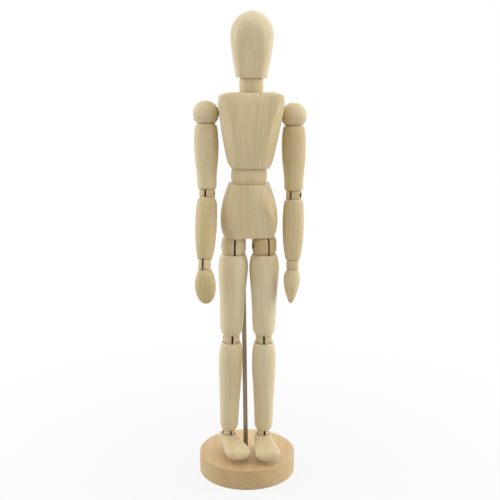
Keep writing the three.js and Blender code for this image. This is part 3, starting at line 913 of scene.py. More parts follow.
@dataclass(frozen=True)
class Hardware:
    """Sizes that all joints share."""

    fit: float = 0.3
    cup_fit: float = 0.2
    ball_cut: float = 0.87
    barrel_crown: float = 0.08
    end_flat: float = 0.2
    cap_start: float = 0.35
    pin_recess: float = 1.1
    pin_cover: float = 2.2
    strip: float = 0.4
    strip_width: float = 1.6
    strip_gap: float = 0.3
    slot_fit: float = 0.12
    head_width: float = 3.2
    head_height: float = 1.2
    eye_ring: float = 0.8
    wire: float = 0.35
    coil: float = 2.45
    end_coil: float = 1.68
    pitch: float = 2.4
    turns: int = 3
    shoulder_turns: int = 6
    bore_floor: float = 5.0
    chest_floor: float = 15.4
    rim_round: float = 0.3
    slot_roof: float = 0.8
    hole_overlap: float = 0.5
    overcut: float = 1.0
    eye_drill: float = 2.0
    coil_steps: int = 28
    coil_lead: float = 0.75

    @property
    def slot(self) -> float:
        """Width of the sawn slot."""
        return 2 * self.slot_fit + 2 * self.strip + self.strip_gap

    @property
    def strip_side(self) -> float:
        """Distance of a strip's middle from the middle of the slot."""
        return (self.strip_gap + self.strip) / 2

    @property
    def link_hole(self) -> float:
        """Radius of the hole that a link turns in."""
        return math.hypot(self.strip_gap / 2 + self.strip, self.strip_width / 2) + self.fit

    @property
    def bore(self) -> float:
        """Radius of the hole that a spring lies in."""
        return self.coil + self.wire + self.fit

    @property
    def head_bore(self) -> float:
        """Radius of the blind hole that a link's head lies in."""
        return self.head_width / 2 + 2 * self.fit

    def cup(self, ball: BallSize) -> float:
        """Radius of the seat for a ball."""
        return ball.radius + self.cup_fit

    def link(self, ball: BallSize, floor: float) -> float:
        """Length of a link from the ball's centre to its head."""
        return ball.radius + floor + 2 * (self.wire + self.fit) + self.pitch

    def link_depth(self, ball: BallSize) -> float:
        """Depth of the blind hole for a link and its head."""
        return self.link(ball, self.bore_floor) + self.head_height + self.fit


HARDWARE = Hardware()
WRIST_BENDS = {Side.LEFT: 13.0, Side.RIGHT: 2.0}
WAIST = BallSize(radius=11.8, barrel=11.45, open=5.1, pin=1.3, wall=2.4)
NECK = BallSize(radius=8.3, barrel=7.55, open=4.35, pin=1.0, wall=2.0)
SHOULDER = BallSize(radius=8.2, barrel=8.1, open=6.7, pin=1.3, round=True)
ELBOW = BallSize(radius=5.7, barrel=5.05, open=2.9, pin=1.4)
WRIST = BallSize(radius=4.6, barrel=4.0, open=3.1, pin=0.9)
HIP = BallSize(radius=8.6, barrel=7.95, open=5.65, pin=1.6)
KNEE = BallSize(radius=6.1, barrel=5.5, open=2.95, pin=1.3)
ANKLE = BallSize(radius=4.7, barrel=4.1, open=2.5, pin=0.9)


class Skeleton:
    """Places of the joints at rest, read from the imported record."""

    def __init__(self, joints: Iterable[dict]) -> None:
        """Keep the joints by name.

        Args:
            joints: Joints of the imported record.
        """
        self._joints = {j["name"]: j for j in joints}

    def centre(self, name: str) -> Vector:
        """Centre of a joint in millimetres."""
        return Vector(self._joints[name]["pos_m"]) / MM

    def axis(self, name: str) -> Vector:
        """Axis of a joint."""
        return Vector(self._joints[name]["axis"]).normalized()

    def upright(self, name: str) -> Vector:
        """Axis of a joint, pointing upwards."""
        way = self.axis(name)
        return way if way.z > 0 else -way

    def ball(self, stem: str) -> Matrix:
        """Frame of a ball that turns about an upright link and bends about its pin.

        Args:
            stem: Start of the two joints' names.

        Returns:
            Frame with Z up the link and X along the pin.
        """
        return frame_at(self.centre(f"{stem}_turn"), self.upright(f"{stem}_turn"), self.axis(f"{stem}_bend"))

    def span(self, upper: str, lower: str, side: Vector) -> Matrix:
        """Frame of a limb between two joints, with its origin at the upper one.

        Args:
            upper: Name of the upper joint.
            lower: Name of the lower joint.
            side: Direction of X.

        Returns:
            Frame with Z up the limb.
        """
        start = self.centre(upper)
        return frame_at(start, start - self.centre(lower), side)


@dataclass
class Workshop:
    """Cuts skins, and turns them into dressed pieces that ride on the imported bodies."""

    materials: dict[Slot, bpy.types.Material]
    owners: dict[str, str]
    made: list[str] = field(default_factory=list)

    def combined(self, first: bpy.types.Mesh, others: Sequence[Skin], how: Cut) -> bpy.types.Mesh:
        """One mesh cut by, or joined with, other skins.

        Args:
            first: Mesh to work on, which is used up.
            others: Skins in the same frame.
            how: Whether they are cut away or joined.

        Returns:
            The new mesh.
        """
        target = self._scratch(first)
        helpers = [self._scratch(skin.mesh("helper")) for skin in others]
        for helper in helpers:
            step = target.modifiers.new("step", "BOOLEAN")
            step.operation = how.value
            step.solver = "EXACT"
            step.object = helper
        bpy.context.view_layer.update()
        graph = bpy.context.evaluated_depsgraph_get()
        result = bpy.data.meshes.new_from_object(target.evaluated_get(graph))
        for scratch in (target, *helpers):
            used = scratch.data
            bpy.data.objects.remove(scratch)
            bpy.data.meshes.remove(used)
        return result

    @staticmethod
    def _scratch(mesh: bpy.types.Mesh) -> bpy.types.Object:
        """Short-lived object for a mesh."""
        made = bpy.data.objects.new("scratch", mesh)
        bpy.context.scene.collection.objects.link(made)
        return made

    def piece(
        self, node: str, mesh: bpy.types.Mesh, place: Matrix, slot: Slot, lay: Optional[GrainLay] = None
    ) -> None:
        """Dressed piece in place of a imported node.

        Args:
            node: Name of the node.
            mesh: Mesh in metres in the piece's own frame.
            place: That frame in millimetres.
            slot: Material slot.
            lay: How the piece lies in its blank, where its name doesn't say it.
        """
        self._finish(mesh, lay or GrainLay.of(node))
        mesh.materials.clear()
        mesh.materials.append(self.materials[slot])
        name = f"{node}_{'steel' if slot is Slot.STEEL else 'wood'}"
        made = bpy.data.objects.new(name, mesh)
        bpy.context.scene.collection.objects.link(made)
        world = place.copy()
        world.translation = place.translation * MM
        made.matrix_world = world
        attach(made, self.owners[node])
        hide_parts(node)
        self.made.append(name)
        LOG.info("%s on %s: %d faces", name, self.owners[node], len(mesh.polygons))

    @staticmethod
    def _finish(mesh: bpy.types.Mesh, lay: GrainLay) -> None:
        """Shade the mesh and give it its place in the tree.

        Args:
            mesh: Mesh to finish.
            lay: How the piece lies in its blank.
        """
        work = bmesh.new()
        work.from_mesh(mesh)
        bmesh.ops.remove_doubles(work, verts=work.verts, dist=WELD)
        bmesh.ops.dissolve_degenerate(work, edges=work.edges, dist=SLIVER)
        for face in work.faces:
            face.smooth = True
        for edge in work.edges:
            if len(edge.link_faces) == 2:
                edge.smooth = edge.calc_face_angle() < SHARP_ANGLE
        work.to_mesh(mesh)
        work.free()
        points = np.zeros(len(mesh.vertices) * 3)
        mesh.vertices.foreach_get("co", points)
        places = lay.coordinates(points.reshape(-1, 3) / MM)
        grain = mesh.attributes.new("grain", "FLOAT_VECTOR", "POINT")
        grain.data.foreach_set("vector", places.astype(np.float32).ravel())
        # Per-piece tone, partly the wood's own and partly painted light and shade, kept for the shaders.
        tone = mesh.attributes.new("tone", "FLOAT", "POINT")
        tone.data.foreach_set("value", np.full(len(mesh.vertices), lay.tone, np.float32))


@dataclass
class Knuckle:
    """Slotted ball with its cross pin and swivel link; closed is the end of the pin that wood covers."""

    stem: str
    size: BallSize
    floor: float = HARDWARE.bore_floor
    closed: float = 0.0

    def build(self, shop: Workshop, place: Matrix) -> None:
        """Make the ball and its pin.

        Args:
            shop: Workshop that dresses the pieces.
            place: Frame with the closed side up and the pin along X.
        """
        ball = shop.combined(self._body().mesh("ball"), self._cuts(), Cut.AWAY)
        shop.piece(f"{self.stem}_ball", ball, place, Slot.WOOD)
        bar = self._pin(self.size.pin, 0, self.size.barrel - HARDWARE.pin_recess).mesh("pin")
        pin = shop.combined(bar, [self._link()], Cut.JOIN)
        shop.piece(f"{self.stem}_pin", pin, place, Slot.STEEL)

    def _body(self) -> Skin:
        """Turned ball with flat ends and a barrel girth."""
        size = self.size
        cut = size.radius - HARDWARE.end_flat if size.round else size.radius * HARDWARE.ball_cut
        profile: Profile = [(0.0, -cut)]
        for z in -cut + 2 * cut * eased(FACETS.ball_rows):
            girth = size.barrel * (1 - HARDWARE.barrel_crown * (z / size.open) ** 2)
            profile.append((min(math.sqrt(size.radius**2 - z**2), girth), float(z)))
        profile.append((0.0, cut))
        return Skin.turned(profile, FACETS.ball)

    def _cuts(self) -> list[Skin]:
        """Slot, link hole and pin bore."""
        size = self.size
        reach = size.radius + HARDWARE.overcut
        top = min(size.open + HARDWARE.cap_start, size.radius * HARDWARE.ball_cut - HARDWARE.slot_roof)
        half = size.barrel - size.wall if size.wall else reach
        slot = Skin.block((-HARDWARE.slot / 2, -half, -reach), (HARDWARE.slot / 2, half, top))
        hole = Skin.bar(HARDWARE.link_hole, top - HARDWARE.hole_overlap, reach, FACETS.bore)
        bore = self._pin(size.pin + HARDWARE.fit, HARDWARE.fit, reach)
        return [slot, hole, bore]

    def _pin(self, radius: float, more: float, reach: float) -> Skin:
        """Round bar along X.

        Args:
            radius: Its radius.
            more: Length added under a closed side's cover.
            reach: Half length on open sides.

        Returns:
            The skin.
        """
        shut = self.size.barrel - HARDWARE.pin_cover + more
        low = -shut if self.closed < 0 else -reach
        high = shut if self.closed > 0 else reach
        return Skin.bar(radius, low, high, FACETS.pin).moved(ACROSS)

    def _link(self) -> Skin:
        """Flat swivel link with its head, which points up from the pin."""
        length = HARDWARE.link(self.size, self.floor)
        half, head = HARDWARE.strip_width / 2, HARDWARE.head_width / 2
        tip = length + HARDWARE.head_height
        stem = [(half, length), (head, length), (head, tip), (-head, tip), (-head, length), (-half, length)]
        outline = round_end(self.size.pin + HARDWARE.eye_ring, half, stem)
        return plate(outline, -HARDWARE.strip_side, HARDWARE.strip)


def round_end(radius: float, half: float, stem: Sequence[tuple[float, float]]) -> Profile:
    """Outline of a strip with a round end about the origin.

    Args:
        radius: Radius of the round end.
        half: Half width of the strip.
        stem: The strip's far points, from its right edge to its left.

    Returns:
        The outline, starting where the strip's right edge leaves the round.
    """
    start = math.asin(half / radius)
    turn = np.linspace(-start, -(2 * math.pi - start), FACETS.eye)
    ring = [(radius * math.sin(a), radius * math.cos(a)) for a in turn]
    return [*stem, *ring]


def plate(outline: Profile, side: float, thickness: float) -> Skin:
    """Flat plate in the slot's plane.

    Args:
        outline: Pairs along Y and Z.
        side: Place of its middle along X.
        thickness: Thickness along X.

    Returns:
        The skin.
    """
    count = len(outline)
    points = [(side + x, y, z) for x in (-thickness / 2, thickness / 2) for y, z in outline]
    faces: list[tuple[int, ...]] = [tuple(range(count)), tuple(range(2 * count - 1, count - 1, -1))]
    faces += [(i, (i + 1) % count, count + (i + 1) % count, count + i) for i in range(count)]
    return Skin(np.array(points), faces)


def coil_path(top: float, turns: int, pitch: float, first: float, last: float) -> np.ndarray:
    """Middle of a coil about Z, from its top downwards.

    Args:
        top: Height of its start.
        turns: Number of turns.
        pitch: Drop in one turn.
        first: Radius where it starts.
        last: Radius where it ends.

    Returns:
        Points along the wire.
    """
    along = np.linspace(0, turns, turns * HARDWARE.coil_steps + 1)
    grown = np.minimum(along / HARDWARE.coil_lead, 1)
    left = np.minimum(turns - along, 1)
    wide = HARDWARE.coil
    radius = np.minimum(first + (wide - first) * grown, last + (wide - last) * left)
    turn = 2 * math.pi * along
    return np.column_stack([radius * np.cos(turn), radius * np.sin(turn), top - pitch * along])


def hanging_eye(shop: Workshop, ball: BallSize, length: float) -> bpy.types.Mesh:
    """Flat eye on the pin of a ball, pointing down.

    Args:
        shop: Workshop that drills it.
        ball: The ball whose pin carries it.
        length: Length from the pin to its end.

    Returns:
        The drilled plate.
    """
    half = HARDWARE.strip_width / 2
    outline = round_end(ball.pin + HARDWARE.fit + HARDWARE.eye_ring, half, [(half, length), (-half, length)])
    flipped = [(-y, -z) for y, z in outline]
    reach = HARDWARE.eye_drill
    drill = Skin.bar(ball.pin + HARDWARE.fit, -reach, reach, FACETS.pin).moved(ACROSS)
    eye = plate(flipped, HARDWARE.strip_side, HARDWARE.strip).mesh("eye")
    return shop.combined(eye, [drill], Cut.AWAY)


@dataclass
class Limb:
    """Turned limb between two balls, with its tension spring."""

    node: str
    upper: BallSize
    lower: BallSize
    span: float
    girth: float
    shape: tuple[tuple[float, float], ...]

    def build(self, shop: Workshop, place: Matrix, eye_place: Matrix) -> None:
        """Make the limb and its spring.

        Args:
            shop: Workshop that dresses the pieces.
            place: Frame hanging from the upper ball's centre.
            eye_place: The same frame with X along the upper pin.
        """
        wood = Skin.turned(self._profile(), FACETS.limb).mesh("limb")
        shop.piece(self.node, wood, place, Slot.WOOD)
        steel = limb_spring(shop, self.upper, self.lower, self.span, HARDWARE.bore_floor)
        shop.piece(f"{self.node}_spring", steel, eye_place, Slot.STEEL)

    def _profile(self) -> Profile:
        """Closed outline: outside upwards, upper cup, bore, link hole, lower cup."""
        top, bottom = -self.upper.open, -self.span + self.lower.open
        rows = filled(self.shape, FACETS.limb_rows)[::-1]
        outside = [(float(self.girth * r), float(top + (bottom - top) * t)) for t, r in rows]
        high, low = HARDWARE.cup(self.upper), HARDWARE.cup(self.lower)
        floor = -self.span + self.lower.radius + HARDWARE.bore_floor
        upper_cup = arc(high, math.pi - math.acos(self.upper.open / high),
                        math.pi - math.asin(HARDWARE.bore / high), 0, FACETS.seat)
        lower_cup = arc(low, math.asin(HARDWARE.link_hole / low), math.acos(self.lower.open / low),
                        -self.span, FACETS.seat)
        upper_rim = softened((outside[-2], outside[-1], upper_cup[0]), HARDWARE.rim_round)
        lower_rim = softened((lower_cup[-1], outside[0], outside[1]), HARDWARE.rim_round)
        bore = [(HARDWARE.bore, floor), (HARDWARE.link_hole, floor)]
        return [*lower_rim, *outside[1:-1], *upper_rim, *upper_cup, *bore, *lower_cup]


def limb_spring(
    shop: Workshop, upper: BallSize, lower: BallSize, span: float, floor: float
) -> bpy.types.Mesh:
    """Tension spring: an eye on the upper pin, a coil, and a narrow last turn under the lower link's head.

    Args:
        shop: Workshop that joins the skins.
        upper: Ball that carries the eye.
        lower: Ball whose link it holds.
        span: Distance of the balls.
        floor: Wood between the lower ball and the bore.

    Returns:
        The mesh.
    """
    end = -span + lower.radius + floor + HARDWARE.wire + HARDWARE.fit
    top = end + HARDWARE.turns * HARDWARE.pitch
    path = coil_path(top, HARDWARE.turns, HARDWARE.pitch, HARDWARE.strip_side, HARDWARE.end_coil)
    eye = hanging_eye(shop, upper, -top + HARDWARE.wire / 2)
    return shop.combined(eye, [Skin.wire(path, HARDWARE.wire)], Cut.JOIN)


@dataclass
class Stand:
    """Round base, steel rod and the pelvis that it carries."""

    base_radius: float = 32.4
    base_height: float = 14.4
    base_round: float = 1.3
    foot_bevel: float = 0.6
    rod_radius: float = 1.5
    rod_base_depth: float = 9.0
    rod_pelvis_depth: float = 12.0
    rod_side: float = 4.1
    rod_foot_side: float = 0.7
    rod_bevel: float = 0.3
    rod_plain_end: float = 6.0
    pelvis_height: float = 34.2
    pelvis_half_width: float = 18.2
    rod_wall: float = 2.4
    facet_tilt: float = 12.0
    facet_turn: float = 11.0
    facet_back: float = 0.7
    facet_soft: float = 0.5
    seat_pole: float = 0.05
    base_top_rings: tuple[float, ...] = (0.9, 0.7, 0.5, 0.3, 0.15)
    base_under_rings: tuple[float, ...] = (0.3, 0.6, 0.9, 1.0)
    pelvis_under_rings: tuple[float, ...] = (0.12, 0.4, 0.7, 0.93)
    pelvis_squareness: float = 2.5
    pelvis_rows: tuple[tuple[float, float, float], ...] = (
        (0, 0.86, 0.88), (0.06, 0.925, 0.95), (0.17, 0.975, 1), (0.32, 1, 1), (0.48, 0.98, 1),
        (0.66, 0.92, 0.985), (0.84, 0.82, 0.955), (1, 0.71, 0.92),
    )

    def build(self, shop: Workshop, bones: Skeleton) -> None:
        """Make all pieces of the stand.

        Args:
            shop: Workshop that dresses the pieces.
            bones: Places of the joints.
        """
        waist = bones.centre("waist_turn")
        under = waist - Vector((0, 0, WAIST.open + self.pelvis_height))
        foot = Vector((-self.rod_foot_side, 0, self.base_height - self.rod_base_depth))
        top = Vector((waist.x - self.rod_side, 0, under.z + self.rod_pelvis_depth))
        rod_place = frame_at(foot, top - foot, Vector((1, 0, 0)))
        length = (top - foot).length
        self._base(shop, rod_place)
        bevel, plain = self.rod_bevel, self.rod_plain_end
        rod = [(0, 0), (self.rod_radius - bevel, 0), (self.rod_radius, bevel)]
        end = length - HARDWARE.fit
        rod += [(self.rod_radius, z) for z in np.linspace(plain, end - plain, FACETS.rod_rows)]
        rod += [(self.rod_radius, end - bevel), (self.rod_radius - bevel, end), (0, end)]
        shop.piece("support_rod", Skin.turned(rod, FACETS.rod).mesh("rod"), rod_place, Slot.STEEL)
        self._pelvis(shop, bones, Matrix.Translation(under), rod_place, length)

    def _base(self, shop: Workshop, rod_place: Matrix) -> None:
        """Round base with a soft upper edge.

        Args:
            shop: Workshop that dresses the piece.
            rod_place: Frame of the rod.
        """
        r, h, e = self.base_radius, self.base_height, self.base_round
        turn = np.linspace(math.pi / 2, 0, FACETS.base_edge)
        shoulder = [(r - e + e * math.sin(a), h - e + e * math.cos(a)) for a in turn]
        inner = [(s * (r - e), h) for s in self.base_top_rings]
        under = [(s * (r - self.foot_bevel), 0) for s in self.base_under_rings]
        wall = [(r, self.foot_bevel), (r, 0.5 * h)]
        profile = [(0, 0), *under, *wall, *shoulder, *inner, (0, h)]
        hole = Skin.bar(self.rod_radius + HARDWARE.fit, -HARDWARE.fit, 2 * h, FACETS.rod).moved(rod_place)
        mesh = shop.combined(Skin.turned(profile, FACETS.base).mesh("base"), [hole], Cut.AWAY)
        lay = GrainLay(heart=(-40, 8), turn=0.0, start=120, tone=0.0, fibre=Fibre.FORWARD)
        shop.piece("base", mesh, Matrix.Identity(4), Slot.BASE_WOOD, lay)

    def _pelvis(
        self, shop: Workshop, bones: Skeleton, place: Matrix, rod_place: Matrix, rod_length: float
    ) -> None:
        """Pelvis with seats for waist and hips.

        Args:
            shop: Workshop that dresses the piece.
            bones: Places of the joints.
            place: Frame at the middle of its underside.
            rod_place: Frame of the rod.
            rod_length: Length of the rod's hole.
        """
        w, h = self.pelvis_half_width, self.pelvis_height
        d = -place.translation.y + self.rod_radius + self.rod_wall
        count, rows = FACETS.body, filled(self.pelvis_rows, FACETS.pelvis_rows)
        side = [oval(t * h, w * a, d * b, self.pelvis_squareness, count) for t, a, b in rows]
        under = [side[0] * (s, s, 1) for s in self.pelvis_under_rings]
        cup = HARDWARE.cup(WAIST)
        rim = math.pi - math.acos(WAIST.open / cup)
        seat = hoops(arc(cup, rim, math.pi - self.seat_pole, h + WAIST.open, FACETS.pelvis_seat), count)
        skin = Skin.loft([*under, *side, *seat], (0, 0, 0), (0, 0, h + WAIST.open - cup))
        tilt, turn = math.radians(self.facet_tilt), math.radians(self.facet_turn)
        outward = (math.cos(tilt) * math.sin(turn), -math.cos(tilt) * math.cos(turn), -math.sin(tilt))
        skin = skin.shaved((0, -self.facet_back * d, 0), outward, self.facet_soft)
        back = place.inverted()
        waist = back @ frame_at(bones.centre("waist_turn"), -bones.upright("waist_turn"), Vector((1, 0, 0)))
        cuts = [Skin.bar(HARDWARE.head_bore, 0, HARDWARE.link_depth(WAIST), FACETS.bore).moved(waist)]
        for way in Side:
            hip = back @ bones.ball(f"{way.value}_hip")
            cuts.append(Skin.ball(HARDWARE.cup(HIP)).moved(hip))
            cuts.append(Skin.bar(HARDWARE.head_bore, 0, HARDWARE.link_depth(HIP), FACETS.bore).moved(hip))
        rod_hole = Skin.bar(self.rod_radius + HARDWARE.fit, 0, rod_length, FACETS.bore)
        cuts.append(rod_hole.moved(back @ rod_place))
        shop.piece("pelvis", shop.combined(skin.mesh("pelvis"), cuts, Cut.AWAY), place, Slot.WOOD)


@dataclass
class Torso:
    """Waist, chest, neck and head."""

    chest_height: float = 46.1
    chest_half_width: float = 20.5
    chest_half_depth: float = 14.2
    shoulder_side: float = 27.6
    shoulder_back: float = 4.4
    shoulder_drop: float = 13.9
    chest_tilt: float = 7.0
    chest_facet_at: float = 0.36
    chest_facet_back: float = 0.97
    chest_bevel: float = 4.6
    chest_bevel_back: float = 0.86
    chest_bevel_rows: tuple[int, int] = (1, 7)
    chest_squareness: float = 2.8
    chest_front_squareness: float = 8.0
    chest_facet_soft: float = 1.2
    chest_bevel_soft: float = 1.5
    chest_level: float = 1.5
    chest_level_from: float = 0.7
    chest_top_rings: tuple[float, ...] = (0.08, 0.4, 0.75)
    head_height: float = 40.0
    head_radius: float = 13.3
    head_depth: float = 1.08
    head_turn: float = -4.0
    head_shank: float = 6.0
    face_tilt: float = 9.0
    face_back: float = 0.79
    face_at: float = 0.45
    face_soft: float = 2.0
    rim_margin: float = 0.01
    crown_margin: float = 1.0
    chest_rows: tuple[tuple[float, float, float], ...] = (
        (0, 0.57, 0.9), (0.05, 0.655, 0.94), (0.15, 0.725, 0.98), (0.26, 0.775, 1), (0.4, 0.84, 1),
        (0.55, 0.9, 0.98), (0.7, 0.95, 0.94), (0.86, 1, 0.87), (0.94, 0.985, 0.79), (0.975, 0.92, 0.72),
        (1, 0.7, 0.6),
    )
    head_rows: tuple[tuple[float, float], ...] = (
        (0.71, 0), (0.74, 0.03), (0.8, 0.14), (0.87, 0.27), (0.93, 0.39), (0.98, 0.52), (1, 0.64),
        (0.97, 0.73), (0.89, 0.8), (0.78, 0.865), (0.6, 0.925), (0.4, 0.9665), (0.2, 0.9916),
        (0.07, 0.999), (0.01, 1.0),
    )

    @property
    def neck_rise(self) -> float:
        """Height of the neck's centre over the waist's."""
        return WAIST.open + self.chest_height + NECK.open

    @property
    def shoulder_rise(self) -> float:
        """Height of the shoulders over the waist's centre."""
        return WAIST.open + self.chest_height - self.shoulder_drop

    def build(self, shop: Workshop, bones: Skeleton) -> None:
        """Make all pieces of the torso.

        Args:
            shop: Workshop that dresses the pieces.
            bones: Places of the joints.
        """
        waist, neck = bones.centre("waist_turn"), bones.centre("neck_turn")
        waist_side, neck_side = bones.axis("waist_bend"), bones.axis("neck_bend")
        waist_place = frame_at(waist, -bones.upright("waist_turn"), waist_side)
        Knuckle("waist", WAIST, closed=-1).build(shop, waist_place)
        chest = frame_at(waist, bones.upright("chest_turn"), bones.axis("right_shoulder_swing"))
        self._chest(shop, chest)
        link = frame_at(waist, -bones.upright("chest_turn"), waist_side)
        spring = limb_spring(shop, WAIST, NECK, self.neck_rise, HARDWARE.chest_floor)
        shop.piece("torso_spring", spring, link, Slot.STEEL)
        across = chest @ Matrix.Translation((0, self.shoulder_back, self.shoulder_rise))
        self._shoulder_spring(shop, across @ ACROSS)
        neck_place = frame_at(neck, -bones.upright("neck_turn"), neck_side)
        Knuckle("neck", NECK, HARDWARE.chest_floor, -1).build(shop, neck_place)
        upright = bones.upright("head_turn")
        eye = hanging_eye(shop, NECK, NECK.radius + HARDWARE.bore_floor + self.head_shank)
        shop.piece("head_eye", eye, frame_at(neck, -upright, neck_side), Slot.STEEL)
        turn = Matrix.Rotation(math.radians(self.head_turn), 4, "Z")
        self._head(shop, frame_at(neck, upright, neck_side) @ turn)

    def _chest(self, shop: Workshop, place: Matrix) -> None:
        """Chest with seats for waist, neck and shoulders.

        Args:
            shop: Workshop that dresses the piece.
            place: Frame at the waist's centre.
        """
        w, d, h, low = self.chest_half_width, self.chest_half_depth, self.chest_height, WAIST.open
        count, rows = FACETS.body, filled(self.chest_rows, FACETS.chest_rows)
        side = [oval(low + t * h, w * a, d * b, self.chest_squareness, count, self.chest_front_squareness)
                for t, a, b in rows]
        lean = math.tan(math.radians(self.chest_level))
        for t, ring in zip(rows[:, 0], side):
            share = max(0.0, (t - self.chest_level_from) / (1 - self.chest_level_from))
            ring[:, 2] += ring[:, 0] * lean * share
        waist_cup, neck_cup = HARDWARE.cup(WAIST), HARDWARE.cup(NECK)
        top = self.neck_rise
        bore_top = top - NECK.radius - HARDWARE.chest_floor
        neck_seat = arc(neck_cup, math.pi - math.acos(NECK.open / neck_cup),
                        math.pi - math.asin(HARDWARE.link_hole / neck_cup), top, FACETS.seat)
        waist_seat = arc(waist_cup, math.asin(HARDWARE.bore / waist_cup), math.acos(low / waist_cup), 0,
                         FACETS.waist_seat)
        inside = [*neck_seat, (HARDWARE.link_hole, bore_top), (HARDWARE.bore, bore_top), *waist_seat]
        inner = hoops(inside, count)
        land = [side[-1] * (1 - s) + inner[0] * s for s in self.chest_top_rings]
        skin = Skin.loft([*side, *land, *inner], looped=True)
        tilt = math.radians(self.chest_tilt)
        flat = (0, -self.chest_facet_back * d, low + self.chest_facet_at * h)
        skin = skin.shaved(flat, (0, -math.cos(tilt), -math.sin(tilt)), self.chest_facet_soft)
        for way in Side:
            edge, outward = self._bevel(way)
            skin = skin.shaved(edge, outward, self.chest_bevel_soft)
        cuts = [Skin.bar(HARDWARE.bore, -self.shoulder_side, self.shoulder_side, FACETS.pin)
                .moved(ACROSS)
                .moved(Matrix.Translation((0, self.shoulder_back, self.shoulder_rise)))]
        for way in Side:
            centre = (way.sign * self.shoulder_side, self.shoulder_back, self.shoulder_rise)
            cuts.append(Skin.ball(HARDWARE.cup(SHOULDER)).moved(Matrix.Translation(centre)))
        shop.piece("chest", shop.combined(skin.mesh("chest"), cuts, Cut.AWAY), place, Slot.WOOD)

    def _bevel(self, way: Side) -> tuple[np.ndarray, np.ndarray]:
        """Long flat along one front edge of the chest.

        Args:
            way: Side of the edge.

        Returns:
            A point on the flat and the direction out of it.
        """
        ends = []
        for row in self.chest_bevel_rows:
            t, share, _ = self.chest_rows[row]
            x = way.sign * (share * self.chest_half_width - self.chest_bevel)
            y = -self.chest_bevel_back * self.chest_half_depth
            ends.append(np.array([x, y, WAIST.open + t * self.chest_height]))
        return ends[0], np.cross((1.0, way.sign, 0.0), ends[1] - ends[0])

    def _shoulder_spring(self, shop: Workshop, place: Matrix) -> None:
        """Spring across the chest.

        Args:
            shop: Workshop that dresses the piece.
            place: Frame with Z along the spring.
        """
        half = self.shoulder_side - SHOULDER.radius - HARDWARE.bore_floor - HARDWARE.wire - HARDWARE.fit
        turns = HARDWARE.shoulder_turns
        path = coil_path(half, turns, 2 * half / turns, HARDWARE.end_coil, HARDWARE.end_coil)
        shop.piece("shoulder_spring", Skin.wire(path, HARDWARE.wire).mesh("spring"), place, Slot.STEEL)

    def _head(self, shop: Workshop, place: Matrix) -> None:
        """Egg head with a flat face.

        Args:
            shop: Workshop that dresses the piece.
            place: Frame at the neck's centre.
        """
        r, h, low = self.head_radius, self.head_height, NECK.open
        cup = HARDWARE.cup(NECK)
        outside = [(a * r, low + t * h) for a, t in table_curves(self.head_rows, FACETS.head_rows)]
        seat = arc(cup, math.asin(HARDWARE.link_hole / cup), math.acos(low / cup), 0, FACETS.seat)
        depth = NECK.radius + HARDWARE.bore_floor + self.head_shank + HARDWARE.fit
        rim = softened((seat[-1], outside[0], outside[1]), HARDWARE.rim_round)
        profile = [(0, depth), (HARDWARE.link_hole, depth), *seat, *rim, *outside[1:], (0, low + h)]
        skin = Skin.turned(profile, FACETS.head)
        shell = skin.points[:, 2] > low - AXIS_EPS
        rim_radius = cup * math.sin(math.acos(low / cup)) + self.rim_margin
        outer = np.hypot(skin.points[:, 0], skin.points[:, 1]) > rim_radius
        skin.points[shell & outer, 1] *= self.head_depth
        crown = skin.points[:, 2] > depth + self.crown_margin
        skin.points[crown & ~outer, 1] *= self.head_depth
        tilt = math.radians(self.face_tilt)
        flat = (0, -self.face_back * r * self.head_depth, low + self.face_at * h)
        skin = skin.shaved(flat, (0, -math.cos(tilt), -math.sin(tilt)), self.face_soft)
        shop.piece("head", skin.mesh("head"), place, Slot.WOOD)


